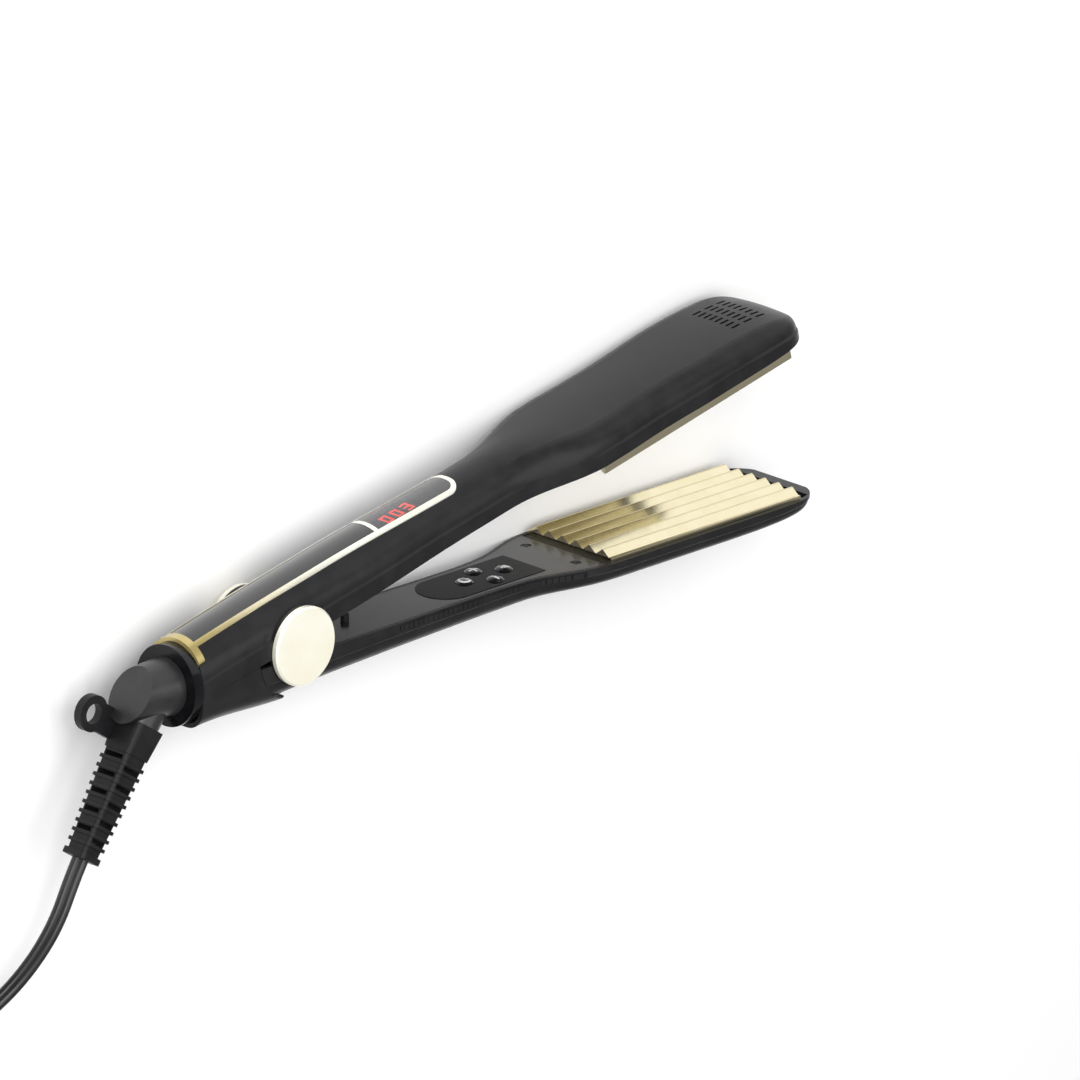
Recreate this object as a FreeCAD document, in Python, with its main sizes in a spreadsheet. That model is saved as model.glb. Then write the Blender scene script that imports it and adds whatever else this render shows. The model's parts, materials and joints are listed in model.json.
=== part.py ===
"""Hair crimper: two hinged arms with corrugated plates, a swivel cord and a two-pin plug.

The tool lies on its side. Lengths are in millimetres. The working frame has its origin on
the hinge axis: X runs along the main arm from tail to tip, Y points out of the main arm's
back and Z runs along the hinge. Both arms are drawn closed, and the lower arm is then
turned open about the hinge.
"""
import math
import os

import FreeCAD
import Part

from FreeCAD import Placement, Rotation, Vector

SIZES = {
    # arms
    "opening_angle": 12.5,
    "closing_plane": -1.75,
    "face_offset": 3.0,
    "wall": 1.8,
    "crease": 0.8,
    "head_half_width": 24.0,
    "head_flat": 23.9,
    "tail_tilt": 14.0,
    "tail_reach": 50.0,
    "tail_height": 4.5,
    # plates and heaters
    "plate_start": 155.0,
    "plate_length": 100.0,
    "plate_width": 44.0,
    "plate_base": 2.0,
    "plate_gap": 0.4,
    "ridge_pitch": 7.0,
    "ridge_height": 2.4,
    "ridge_flat": 0.5,
    "heater_length": 84.0,
    "heater_width": 24.0,
    "heater_thickness": 3.0,
    "insulator_thickness": 0.5,
    "clamp_thickness": 1.0,
    "clamp_width": 30.0,
    "holder_margin": 3.0,
    "holder_thickness": 4.0,
    # hinge
    "pin_radius": 2.5,
    "pin_fit": 0.05,
    "bush_wall": 1.5,
    "hub_wall": 2.5,
    "hub_inner": 5.0,
    "hub_outer": 13.6,
    "cheek_radius": 15.0,
    "cheek_face": 16.0,
    "cheek_thickness": 1.8,
    "cap_radius": 15.2,
    "cap_thickness": 2.5,
    "cap_bevel": 0.7,
    "swing_gap": 0.4,
    "knuckle_radius": 21.0,
    "spring_wire": 0.8,
    "spring_turns": 4.0,
    # trim, lens and panel
    "trim_half_width": 8.2,
    "trim_front": 97.0,
    "trim_bar": 1.9,
    "trim_corner": 6.0,
    "trim_proud": 0.35,
    "inlay_depth": 1.1,
    "crossbar": 53.5,
    "lens_proud": 0.15,
    # buttons
    "button_radius": 3.5,
    "button_fit": 0.25,
    "button_travel": 0.5,
    "button_proud": 1.1,
    "button_x": 110.5,
    "button_along": 10.3,
    "button_across": 5.8,
    "fascia_start": 79.0,
    "fascia_end": 131.5,
    "fascia_half_width": 11.2,
    "fascia_thickness": 1.0,
    "fascia_proud": 0.2,
    "board_thickness": 1.6,
    "switch_height": 0.4,
    # swivel and strain relief
    "collar_radius": 15.6,
    "collar_length": 4.5,
    "collar_plug_radius": 12.4,
    "collar_plug_length": 4.0,
    "neck_radius": 7.0,
    "neck_fit": 0.05,
    "contact_radius": 6.0,
    "elbow_radius": 11.2,
    "elbow_end_radius": 8.6,
    "elbow_length": 29.0,
    "elbow_junction": 10.5,
    "relief_top": 7.6,
    "relief_end": 4.6,
    "relief_sleeve": 26.0,
    "relief_length": 68.0,
    "relief_flange": 2.4,
    "slot_pitch": 3.6,
    "loop_radius": 7.0,
    "loop_hole": 3.9,
    "loop_thickness": 3.4,
    # cord and plug
    "cord_diameter": 6.3,
    "coil_radius": 34.5,
    "coil_bundle": 9.6,
    "tie_wall": 0.8,
    "tie_width": 7.0,
    "plug_length": 34.0,
    "plug_width": 33.0,
    "plug_height": 14.0,
    "plug_pin_radius": 2.0,
    "plug_pin_length": 19.0,
    "plug_pin_spacing": 18.6,
}

# Arm sections: distance from the hinge, half width, side height, crown height, shoulder radius.
# Heights are measured from the closing plane.
MAIN_STATIONS = [
    (-58.0, 15.0, 10.0, 22.3, 10.5),
    (-44.0, 15.3, 10.0, 22.8, 10.5),
    (-20.0, 15.7, 10.3, 23.0, 10.5),
    (0.0, 15.8, 10.3, 22.9, 10.5),
    (30.0, 15.6, 10.0, 22.6, 10.2),
    (60.0, 15.0, 9.6, 21.7, 10.0),
    (90.0, 14.4, 9.2, 20.5, 9.6),
    (112.0, 14.6, 9.0, 19.8, 9.4),
    (126.0, 16.4, 9.0, 19.4, 9.2),
    (139.0, 20.6, 9.0, 18.9, 9.0),
    (150.0, 23.4, 9.0, 18.5, 8.6),
    (164.0, 24.0, 9.0, 18.2, 8.2),
    (210.0, 24.0, 9.0, 17.7, 7.9),
    (240.0, 24.0, 8.7, 16.8, 7.3),
    (252.0, 23.4, 8.2, 15.4, 6.4),
    (259.5, 21.5, 7.4, 13.5, 5.3),
    (264.0, 18.0, 6.6, 11.3, 4.0),
    (266.5, 13.5, 5.9, 9.2, 2.8),
]
LOWER_STATIONS = [
    (-24.0, 15.6, 10.0, 19.0, 7.5),
    (0.0, 15.6, 9.8, 18.6, 7.5),
    (30.0, 15.4, 8.6, 16.6, 7.2),
    (60.0, 14.9, 8.0, 15.2, 6.8),
    (90.0, 14.4, 7.6, 14.4, 6.4),
    (112.0, 14.6, 7.2, 13.6, 6.0),
    (126.0, 16.2, 6.8, 12.6, 5.4),
    (139.0, 20.4, 6.5, 11.7, 4.9),
    (150.0, 23.3, 6.4, 11.3, 4.6),
    (164.0, 24.0, 6.4, 11.3, 4.6),
    (210.0, 24.0, 6.4, 11.2, 4.5),
    (240.0, 24.0, 6.2, 10.6, 4.1),
    (252.0, 23.4, 5.8, 9.7, 3.6),
    (259.5, 21.5, 5.3, 8.7, 3.1),
    (264.0, 18.0, 4.9, 7.7, 2.5),
    (266.5, 13.5, 4.6, 6.8, 2.0),
]
TAIL_STATIONS = [
    (-58.0, 15.0, 0.0, 8.3, 8.0),
    (-44.0, 15.3, 1.0, 10.2, 8.6),
    (-30.0, 15.6, 3.0, 13.6, 9.2),
    (-16.0, 15.8, 6.0, 17.2, 9.4),
    (-3.0, 15.8, 9.0, 19.0, 8.0),
]

# Where the cord runs, chosen by hand. The first point lies inside the strain relief.
CORD_POINTS = [
    (-104.1, -35.3, 0.0),
    (-123.5, -54.0, -0.4),
    (-142.0, -74.0, -8.5),
    (-162.0, -84.5, -16.6),
    (-182.0, -86.5, -18.9),
    (-200.0, -84.5, -19.6),
]
TAIL_POINTS = [
    (-200.0, -84.5, -19.6),
    (-220.0, -85.5, -19.2),
    (-238.0, -90.0, -17.4),
    (-254.0, -92.5, -16.6),
]
COIL_CENTRE = Vector(-200.0, -50.0, -13.2)

HINGE_AXIS = Vector(0, 0, 1)
OUTWARD = Vector(0, 1, 0)
ALONG = Vector(1, 0, 0)

doc = FreeCAD.newDocument("hair_crimper")
sheet = doc.addObject("Spreadsheet::Sheet", "sizes")
for row, (alias, value) in enumerate(SIZES.items(), start=1):
    sheet.set(f"A{row}", alias)
    sheet.set(f"B{row}", str(value))
    sheet.setAlias(f"B{row}", alias)
doc.recompute()


def size(alias):
    """The value of a named size, read from the sheet."""
    return float(getattr(sheet, alias))


def bound(feature, **expressions):
    """Binds the feature's properties to expressions over the sheet's names."""
    for prop, expression in expressions.items():
        for alias in sorted(SIZES, key=len, reverse=True):
            expression = expression.replace(f"<{alias}>", f"sizes.{alias}")
        feature.setExpression(prop, expression)
    return feature


def turned(at, along=HINGE_AXIS):
    """A placement at a point, with its own Z turned along a direction."""
    return Placement(Vector(*at), Rotation(Vector(0, 0, 1), Vector(*along)))


def cylinder(name, radius, height, at=(0, 0, 0), along=HINGE_AXIS):
    """A cylinder whose radius and height follow expressions."""
    made = bound(doc.addObject("Part::Cylinder", name), Radius=radius, Height=height)
    made.Placement = turned(at, along)
    return made


def cone(name, radius, end_radius, height, at, along):
    """A cone whose radii and height follow expressions."""
    made = doc.addObject("Part::Cone", name)
    bound(made, Radius1=radius, Radius2=end_radius, Height=height)
    made.Placement = turned(at, along)
    return made


def ring(name, outer, inner, height, at=(0, 0, 0), along=HINGE_AXIS):
    """A tube with an outer and an inner radius."""
    body = cylinder(name + "_outside", outer, height, at, along)
    bore = cylinder(name + "_bore", inner, height, at, along)
    return cut(name, body, bore)


def box(name, low, high):
    """A box between two corners."""
    made = doc.addObject("Part::Box", name)
    made.Length, made.Width, made.Height = (high[i] - low[i] for i in range(3))
    made.Placement = Placement(Vector(*low), Rotation())
    return made


def sized_box(name, length, width, height, at):
    """A box whose sizes follow expressions, with its lowest corner at a point."""
    made = bound(doc.addObject("Part::Box", name), Length=length, Width=width, Height=height)
    made.Placement = Placement(Vector(*at), Rotation())
    return made


def cut(name, base, tool):
    """What is left of the base outside the tool."""
    made = doc.addObject("Part::Cut", name)
    made.Base, made.Tool = base, tool
    return made


def common(name, first, second):
    """What two shapes share."""
    made = doc.addObject("Part::Common", name)
    made.Base, made.Tool = first, second
    return made


def fuse(name, *shapes):
    """Several shapes joined into one."""
    made = doc.addObject("Part::MultiFuse", name)
    made.Shapes = list(shapes)
    return made


def group(name, *shapes):
    """Several separate solids that share a node."""
    made = doc.addObject("Part::Compound", name)
    made.Links = list(shapes)
    return made


def shaped(name, shape):
    """A freeform piece, given its finished shape."""
    made = doc.addObject("Part::Feature", name)
    made.Shape = shape
    return made


def origin_plane(body, role):
    """One of a body's own origin planes."""
    return next(item for item in body.Origin.OriginFeatures if item.Role == role)


def sketch(body, name, role):
    """An empty sketch on one of the body's origin planes."""
    made = body.newObject("Sketcher::SketchObject", name)
    made.AttachmentSupport = [(origin_plane(body, role), "")]
    made.MapMode = "FlatFace"
    return made


def outline(target, points):
    """Draws a closed outline of straight lines in a sketch."""
    corners = [Vector(u, v, 0) for u, v in points]
    for start, end in zip(corners, corners[1:] + corners[:1]):
        target.addGeometry(Part.LineSegment(start, end), False)


def pad(name, role, points, length, midplane=False):
    """A body with one straight-sided outline, padded by a bound length."""
    body = doc.addObject("PartDesign::Body", name)
    profile = sketch(body, name + "_profile", role)
    outline(profile, points)
    made = body.newObject("PartDesign::Pad", name + "_pad")
    made.Profile = profile
    made.Midplane = midplane
    bound(made, Length=length)
    body.Tip = made
    return body


def turning(name, points):
    """A body revolved about its own Z, from (radius, height) points."""
    body = doc.addObject("PartDesign::Body", name)
    profile = sketch(body, name + "_profile", "XZ_Plane")
    outline(profile, points)
    made = body.newObject("PartDesign::Revolution", name + "_turning")
    made.Profile = profile
    made.ReferenceAxis = (profile, ["V_Axis"])
    made.Angle = 360
    body.Tip = made
    return body


def section(station, side, offset=0.0, base=None):
    """The closed outline of an arm at one station, as a wire across the arm.

    side is 1 for the main arm and -1 for the lower arm. A negative offset gives the
    outline of the cavity. base is the height where the outline starts.
    """
    along, half, side_height, crown, shoulder = station
    start = size("face_offset") if base is None else base
    skirt = half + offset
    half = half + offset - size("crease")
    crown = crown + offset
    shoulder = max(shoulder + offset, 0.6)
    step = side_height - size("crease")
    drop = side_height - crown
    radius = ((half - shoulder) ** 2 + drop**2 - shoulder**2) / (2 * (-drop - shoulder))
    centre = crown - radius
    tangent = math.atan2(side_height - centre, half - shoulder)
    middle = tangent / 2

    def point(across, height):
        return Vector(along, size("closing_plane") + side * height, across)

    def on_shoulder(angle, sign):
        across = half - shoulder + shoulder * math.cos(angle)
        return point(sign * across, side_height + shoulder * math.sin(angle))

    edges = [Part.makeLine(point(-skirt, start), point(skirt, start))]
    for sign in (1, -1):
        edges.append(Part.makeLine(point(sign * skirt, start), point(sign * skirt, step)))
        edges.append(Part.makeLine(point(sign * skirt, step), on_shoulder(0, sign)))
        arc = Part.Arc(on_shoulder(0, sign), on_shoulder(middle, sign), on_shoulder(tangent, sign))
        edges.append(arc.toShape())
    crown_arc = Part.Arc(on_shoulder(tangent, 1), point(0, crown), on_shoulder(tangent, -1))
    edges.append(crown_arc.toShape())
    return Part.Wire(Part.__sortEdges__(edges))


def arm_loft(stations, side, offset=0.0, base=None):
    """The solid of an arm, lofted through its stations."""
    if offset < 0:
        tip = stations[-1][0] + offset
        kept = [station for station in stations if station[0] < tip - 4 * size("wall")]
        last = stations[len(kept)]
        kept.append((tip - 2 * size("wall"), *last[1:]))
        stations = kept
    wires = [section(station, side, offset, base) for station in stations]
    return Part.makeLoft(wires, True, False)


def level(side, height):
    """The Y of a plane at a height from the closing plane, on the arm's side."""
    return size("closing_plane") + side * height


def slab(name, side, start, end, half, low, high):
    """A box between two stations and two heights from the closing plane."""
    first, second = sorted((level(side, low), level(side, high)))
    return box(name, (start, first, -half), (end, second, half))


# Directions and places of the swivel, from the tail's tilt.
tilt = math.radians(size("tail_tilt"))
SWIVEL_AXIS = Vector(-math.cos(tilt), math.sin(tilt), 0)
SWIVEL_FOOT = Vector(-size("tail_reach"), size("tail_height"), 0)
RELIEF_AXIS = Vector(-0.72, -0.694, 0).normalize()
RELIEF_BACK = RELIEF_AXIS.cross(HINGE_AXIS)
RELIEF_FOOT = SWIVEL_FOOT + SWIVEL_AXIS * size("elbow_junction")


def along_swivel(distance):
    """A point on the swivel's axis, measured from the collar's seat."""
    return SWIVEL_FOOT + SWIVEL_AXIS * distance


def along_relief(distance):
    """A point on the strain relief's axis, measured from the elbow's middle."""
    return RELIEF_FOOT + RELIEF_AXIS * distance


# ---------------------------------------------------------------- shells

REACH = 400.0
MIDDLE_BOX_HALF = 60.0
main_outside = arm_loft(MAIN_STATIONS, 1)
main_inside = arm_loft(MAIN_STATIONS, 1, -size("wall"), size("face_offset") - 0.01)
lower_outside = arm_loft(LOWER_STATIONS, -1)
lower_inside = arm_loft(LOWER_STATIONS, -1, -size("wall"), size("face_offset") - 0.01)
MAIN_CAVITY = shaped("main_cavity", main_inside)
LOWER_CAVITY = shaped("lower_cavity", lower_inside)


def behind_collar(name):
    """Everything behind the collar's seat, across the swivel's axis."""
    half_space = doc.addObject("Part::Box", name)
    half_space.Length = half_space.Width = 2 * MIDDLE_BOX_HALF
    half_space.Height = MIDDLE_BOX_HALF
    corner = Placement(Vector(-MIDDLE_BOX_HALF, -MIDDLE_BOX_HALF, 0), Rotation())
    half_space.Placement = turned(SWIVEL_FOOT, SWIVEL_AXIS).multiply(corner)
    return half_space


def trim_prism(name, margin=0.0, front=0.0):
    """The upright prism inside the trim's outline, moved in by a margin."""
    half = size("trim_half_width") - margin
    end = size("trim_front") - margin - front
    corner = size("trim_corner") - margin
    back = -size("tail_reach") - 2 * size("trim_half_width")
    high = size("head_half_width") * 2
    straight = end - corner
    bend = corner * math.sin(math.pi / 4)
    rise = corner - bend
    plan = [
        Part.makeLine(Vector(back, 0, -half), Vector(straight, 0, -half)),
        Part.Arc(
            Vector(straight, 0, -half),
            Vector(straight + bend, 0, rise - half),
            Vector(end, 0, corner - half),
        ).toShape(),
        Part.makeLine(Vector(end, 0, corner - half), Vector(end, 0, half - corner)),
        Part.Arc(
            Vector(end, 0, half - corner),
            Vector(straight + bend, 0, half - rise),
            Vector(straight, 0, half),
        ).toShape(),
        Part.makeLine(Vector(straight, 0, half), Vector(back, 0, half)),
        Part.makeLine(Vector(back, 0, half), Vector(back, 0, -half)),
    ]
    return shaped(name, Part.Face(Part.Wire(plan)).extrude(Vector(0, high, 0)))


def skin(name, above, below):
    """A thin layer of the main arm's back, from above its surface to below it."""
    upper = shaped(name + "_above", arm_loft(MAIN_STATIONS, 1, above, size("face_offset")))
    under = shaped(name + "_below", arm_loft(MAIN_STATIONS, 1, -below, 0.0))
    return cut(name, upper, under)


def inlay(name, prism, proud):
    """A piece let into the main arm's back."""
    return common(name, prism, skin(name + "_skin", proud, size("inlay_depth")))


def rear_band(name):
    """The prism of the trim's rear band, which hugs the collar."""
    width = size("trim_bar") * 1.6
    half_space = doc.addObject("Part::Box", name)
    half_space.Length = 2 * MIDDLE_BOX_HALF
    half_space.Width = 2 * MIDDLE_BOX_HALF
    half_space.Height = width
    corner = Placement(Vector(-MIDDLE_BOX_HALF, -MIDDLE_BOX_HALF, -width), Rotation())
    half_space.Placement = turned(SWIVEL_FOOT, SWIVEL_AXIS).multiply(corner)
    reach = size("collar_radius") * 0.8
    keep = box(name + "_keep", (-REACH, 0, -reach), (0, REACH, reach))
    return common(name + "_band", half_space, keep)


def main_shell():
    """The main arm's outer shell, with cheeks at the hinge, a recess for the trim and vents."""
    hollow = cut("main_tube", shaped("main_outside", main_outside), MAIN_CAVITY)
    squared = cut("main_squared", hollow, behind_collar("main_behind"))
    cheeks = []
    face, thick = size("cheek_face"), size("cheek_thickness")
    for sign, side in ((1, "near"), (-1, "far")):
        at = (0, 0, face - thick if sign > 0 else -face)
        cheeks.append(cylinder(f"cheek_{side}", "<cheek_radius>", "<cheek_thickness>", at))
    joined = fuse("main_joined", squared, *cheeks)
    recess = fuse("main_recess", trim_prism("recess_prism"), rear_band("recess_rear"))
    layer = common("main_recess_layer", recess, skin("recess_skin", 1.0, size("inlay_depth")))
    slots = vents()
    window_back, window_front = size("crossbar") + 6, size("trim_front") - 8
    window = box("display_window", (window_back, 4, -5), (window_front, REACH / 4, 5))
    pin_hole = cylinder("main_pin_hole", "<pin_radius>", "4 * <cheek_face>", (0, 0, -2 * face))
    opened = cut("main_opened", joined, fuse("main_cuts", layer, slots, window, pin_hole))
    return common("main_shell", opened, between_flats("main_flats"))


def between_flats(name):
    """The room between the two planes that flatten the head's sides, so that the tool rests on one."""
    half = size("head_flat")
    return box(name, (-REACH, -REACH, -half), (REACH, REACH, half))


def vents():
    """Rows of short slots through the head's back, near the tip."""
    rows, per_row = 3, 8
    first, row_pitch, pitch = 238.5, 6.4, 2.9
    slots = []
    for row in range(rows):
        for place in range(per_row):
            start = first + row * row_pitch
            across = (place - (per_row - 1) / 2) * pitch
            low = (start, 9, across - 0.55)
            slots.append(box(f"vent_{row}_{place}", low, (start + 4.2, REACH / 4, across + 0.55)))
    return group("vent_slots", *slots)


def cover(name, side, cavity, start, end):
    """An inner cover: a slice of the arm's cavity between two stations."""
    face = size("face_offset")
    piece = slab(name + "_slice", side, start, end, MIDDLE_BOX_HALF, face, face + size("wall"))
    return common(name + "_blank", cavity, piece)


COVER_START = 10.0
HOLDER_START = size("plate_start") - size("holder_margin")
HOLDER_END = size("plate_start") + size("plate_length") + size("holder_margin")
SCREW_X = HOLDER_START - 6.5
SCREW_ACROSS = 13.0


def main_inner_cover():
    """The main arm's inner cover, from the hinge to the plate holder."""
    blank = cover("main_inner_cover", 1, MAIN_CAVITY, COVER_START, HOLDER_START)
    holes = [screw_hole(f"main_screw_hole_{i}", 1, across) for i, across in enumerate((1, -1))]
    return cut("main_inner_cover", blank, fuse("main_screw_holes", *holes))


def screw_hole(name, side, across):
    """The bore of a cover screw, with its counterbore at the inner face."""
    inner = (SCREW_X, level(side, size("face_offset") - 0.5), SCREW_ACROSS * across)
    direction = (0, side, 0)
    shank = cylinder(name + "_shank", "1.1", "6", inner, direction)
    head = cylinder(name + "_head", "2.1", "1.7", inner, direction)
    return fuse(name, shank, head)


def screws(name, side):
    """Two cover screws beside the plate's tail end."""
    made = []
    for index, across in enumerate((1, -1)):
        start = level(side, size("face_offset") + 0.35)
        screw = turning(
            f"{name}_{index}",
            [(0, 0.3), (0.9, 0.3), (0.9, 0), (2.1, 0), (2.1, 0.85), (1.1, 0.85), (1.1, 4.4), (0, 5.4)],
        )
        screw.Placement = turned((SCREW_X, start, SCREW_ACROSS * across), (0, side, 0))
        made.append(screw)
    return group(name, *made)


def tail_cover():
    """The cover under the tail, between the collar and the lower arm's knuckle."""
    shape = tail_loft(0.0)
    inner = tail_loft(-size("wall"))
    hollow = cut("tail_tube", shaped("tail_outside", shape), shaped("tail_inside", inner))
    squared = cut("tail_squared", hollow, behind_collar("tail_behind"))
    sweep = cylinder("tail_sweep", "<knuckle_radius> + <swing_gap>", "80", (0, 0, -40))
    return cut("tail_cover", squared, sweep)


def tail_loft(offset):
    """The tail cover's solid, hanging from the main shell's edge."""
    wires = []
    for along, half, side_height, depth, shoulder in TAIL_STATIONS:
        wires.append(tail_section(along, half + offset, side_height, depth + offset, shoulder + offset))
    return Part.makeLoft(wires, True, False)


def tail_section(along, half, side_height, depth, shoulder):
    """A U-shaped section from the main shell's edge down to a depth under the hinge."""
    edge = level(1, size("face_offset"))
    drop = level(-1, 0)
    low = drop - side_height * 0.5
    bottom = drop - depth
    shoulder = min(shoulder, half - 1, low - bottom - 0.5)
    bend = shoulder * (1 - math.cos(math.pi / 4))

    def point(across, height):
        return Vector(along, height, across)

    edges = [
        Part.makeLine(point(-half, edge), point(half, edge)),
        Part.makeLine(point(half, edge), point(half, bottom + shoulder)),
        Part.Arc(
            point(half, bottom + shoulder),
            point(half - bend, bottom + bend),
            point(half - shoulder, bottom),
        ).toShape(),
        Part.makeLine(point(half - shoulder, bottom), point(shoulder - half, bottom)),
        Part.Arc(
            point(shoulder - half, bottom),
            point(bend - half, bottom + bend),
            point(-half, bottom + shoulder),
        ).toShape(),
        Part.makeLine(point(-half, bottom + shoulder), point(-half, edge)),
    ]
    return Part.Wire(edges)


def trim_frame():
    """The trim: two long bars, a rounded front end, a crossbar and a rear band."""
    bar = size("trim_bar")
    ring_prism = cut("trim_ring", trim_prism("trim_outer"), trim_prism("trim_inner", bar))
    low = (size("crossbar") - bar / 2, 0, -size("trim_half_width"))
    crossbar = box("trim_crossbar", low, (low[0] + bar, REACH / 4, size("trim_half_width")))
    prisms = fuse("trim_prisms", ring_prism, crossbar, rear_band("trim_rear"))
    whole = inlay("trim_whole", prisms, size("trim_proud"))
    return cut("trim_frame", whole, behind_collar("trim_behind"))


def inlay_cell(name, start, end):
    """The prism of one cell of the trim, from one station to another."""
    prism = trim_prism(name + "_prism", size("trim_bar"))
    half = size("trim_half_width")
    return common(name, prism, box(name + "_span", (start, 0, -half), (end, REACH / 4, half)))


def display_lens():
    """The clear lens in the trim's front cell."""
    start = size("crossbar") + size("trim_bar") / 2
    return inlay("display_lens", inlay_cell("lens_cell", start, REACH / 2), size("lens_proud"))


def accent_panel():
    """The long glossy panel behind the lens."""
    end = size("crossbar") - size("trim_bar") / 2
    whole = inlay("panel_whole", inlay_cell("panel_cell", -REACH / 4, end), size("lens_proud"))
    return cut("accent_panel", whole, rear_band_space())


def rear_band_space():
    """What the rear band and the collar take away from the accent panel."""
    return fuse("panel_rear", rear_band("panel_band"), behind_collar("panel_behind"))


# ---------------------------------------------------------------- plates and heaters

def plate_profile(side):
    """The section of a corrugated plate, as (across, height) points."""
    half = size("plate_width") / 2
    pitch, tall = size("ridge_pitch"), size("ridge_height")
    flat = size("ridge_flat") / 2
    count = int((half - 0.5) / (pitch / 2))
    base = size("closing_plane") + side * size("plate_gap") / 2
    points = []
    for step in range(-count, count + 1):
        wave = 1 if (step + 1) % 2 == 0 else -1
        across = step * pitch / 2
        for shift in (-flat, flat):
            points.append((across + shift, base + wave * tall / 2))
    points = [(-half, points[0][1])] + points + [(half, points[-1][1])]
    back = base + side * (tall / 2 + size("plate_base"))
    return [*points, (half, back), (-half, back)]


def plate_back(side):
    """The height of a plate's back from the closing plane."""
    return size("plate_gap") / 2 + size("ridge_height") / 2 + size("plate_base")


def plate(name, side):
    """A corrugated plate with ridges along the arm."""
    body = pad(name, "YZ_Plane", [(y, z) for z, y in plate_profile(side)], "<plate_length>")
    body.Placement = Placement(Vector(size("plate_start"), 0, 0), Rotation())
    return body


def layer(name, side, length, width, thick, above):
    """A flat rectangle behind a plate, centred on it, at a distance behind its back."""
    middle = size("plate_start") + size("plate_length") / 2
    low = plate_back(side) + above
    base = level(side, low) if side > 0 else level(side, low + thick)
    return pad_rectangle(name, length, width, thick, (middle, base))


def pad_rectangle(name, length, width, thick, at):
    """A rectangle in the XZ plane, padded along Y and centred across the arm."""
    half_length, half_width = length / 2, width / 2
    corners = [
        (-half_length, -half_width),
        (half_length, -half_width),
        (half_length, half_width),
        (-half_length, half_width),
    ]
    body = pad(name, "XZ_Plane", corners, str(thick))
    body.Placement = Placement(Vector(at[0], at[1] + thick, 0), Rotation())
    return body


def heater(name, side):
    """The ceramic heater on a plate's back."""
    sizes = (size("heater_length"), size("heater_width"), size("heater_thickness"))
    return layer(name, side, *sizes, 0.0)


def insulator(name, side):
    """The mica sheet behind a heater."""
    sizes = (size("heater_length") + 2, size("heater_width") + 2, size("insulator_thickness"))
    return layer(name, side, *sizes, size("heater_thickness"))


def heater_clamp(name, side):
    """The spring plate that holds the heater to its plate."""
    above = size("heater_thickness") + size("insulator_thickness")
    sizes = (size("heater_length") + 8, size("clamp_width"), size("clamp_thickness"))
    return layer(name, side, *sizes, above)


def plate_holder(name, side, cavity):
    """The frame behind a plate, which fills the head's mouth around the heater."""
    low = plate_back(side)
    high = low + size("holder_thickness")
    block = slab(name + "_block", side, HOLDER_START, HOLDER_END, MIDDLE_BOX_HALF, low, high)
    solid = common(name + "_solid", cavity, block)
    middle = size("plate_start") + size("plate_length") / 2
    half = size("heater_length") / 2 + 4
    across = size("clamp_width") / 2
    window = box(name + "_window", (middle - half, -REACH, -across), (middle + half, REACH, across))
    return cut(name, solid, window)


def main_plate_and_heater():
    """The main arm's plate, holder, heater, insulator and clamp."""
    return [
        plate("main_plate", 1),
        plate_holder("main_plate_holder", 1, MAIN_CAVITY),
        heater("main_heater", 1),
        insulator("main_insulator", 1),
        heater_clamp("main_heater_clamp", 1),
    ]


def lower_plate_and_heater():
    """The lower arm's plate, holder, heater, insulator and clamp."""
    return [
        plate("lower_plate", -1),
        plate_holder("lower_plate_holder", -1, LOWER_CAVITY),
        heater("lower_heater", -1),
        insulator("lower_insulator", -1),
        heater_clamp("lower_heater_clamp", -1),
    ]


def sensor(name, side, along, radius, length):
    """A small round sensor that lies on a heater's clamp."""
    above = size("heater_thickness") + size("insulator_thickness") + size("clamp_thickness")
    centre = level(side, plate_back(side) + above + radius)
    return cylinder(name, str(radius), str(length), (along, centre, 0), ALONG)


# ---------------------------------------------------------------- hinge

def hinge_pin():
    """The steel pin through both arms."""
    length = 2 * size("cheek_face")
    return cylinder("hinge_pin", "<pin_radius>", "2 * <cheek_face>", (0, 0, -length / 2))


def hinge_bushes():
    """Two bushes pressed into the lower arm's hubs."""
    outer, inner = "<pin_radius> + <bush_wall>", "<pin_radius> + <pin_fit>"
    height = "<hub_outer> - <hub_inner>"
    near = ring("bush_near", outer, inner, height, (0, 0, size("hub_inner")))
    far = ring("bush_far", outer, inner, height, (0, 0, -size("hub_outer")))
    return group("hinge_bushes", near, far)


def hinge_cap(name, sign):
    """A round cap with a bevelled edge over one end of the pin."""
    radius, thick, bevel = size("cap_radius"), size("cap_thickness"), size("cap_bevel")
    cap = turning(name, [(0, 0), (radius, 0), (radius, thick - bevel), (radius - bevel, thick), (0, thick)])
    cap.Placement = turned((0, 0, sign * size("cheek_face")), (0, 0, sign))
    return cap


def hinge_spring():
    """The torsion spring around the pin, between the lower arm's hubs."""
    wire = size("spring_wire")
    radius = size("pin_radius") + wire + 0.35
    pitch = wire * 1.6
    height = pitch * size("spring_turns")
    helix = Part.makeHelix(pitch, height, radius)
    helix.translate(Vector(0, 0, -height / 2))
    start = helix.Vertexes[0].Point
    tangent = helix.Edges[0].tangentAt(helix.Edges[0].FirstParameter)
    profile = Part.Wire(Part.makeCircle(wire / 2, start, tangent))
    coil = Part.Wire(helix.Edges).makePipeShell([profile], True, True)
    return shaped("hinge_spring", coil)


# ---------------------------------------------------------------- lower arm

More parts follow.
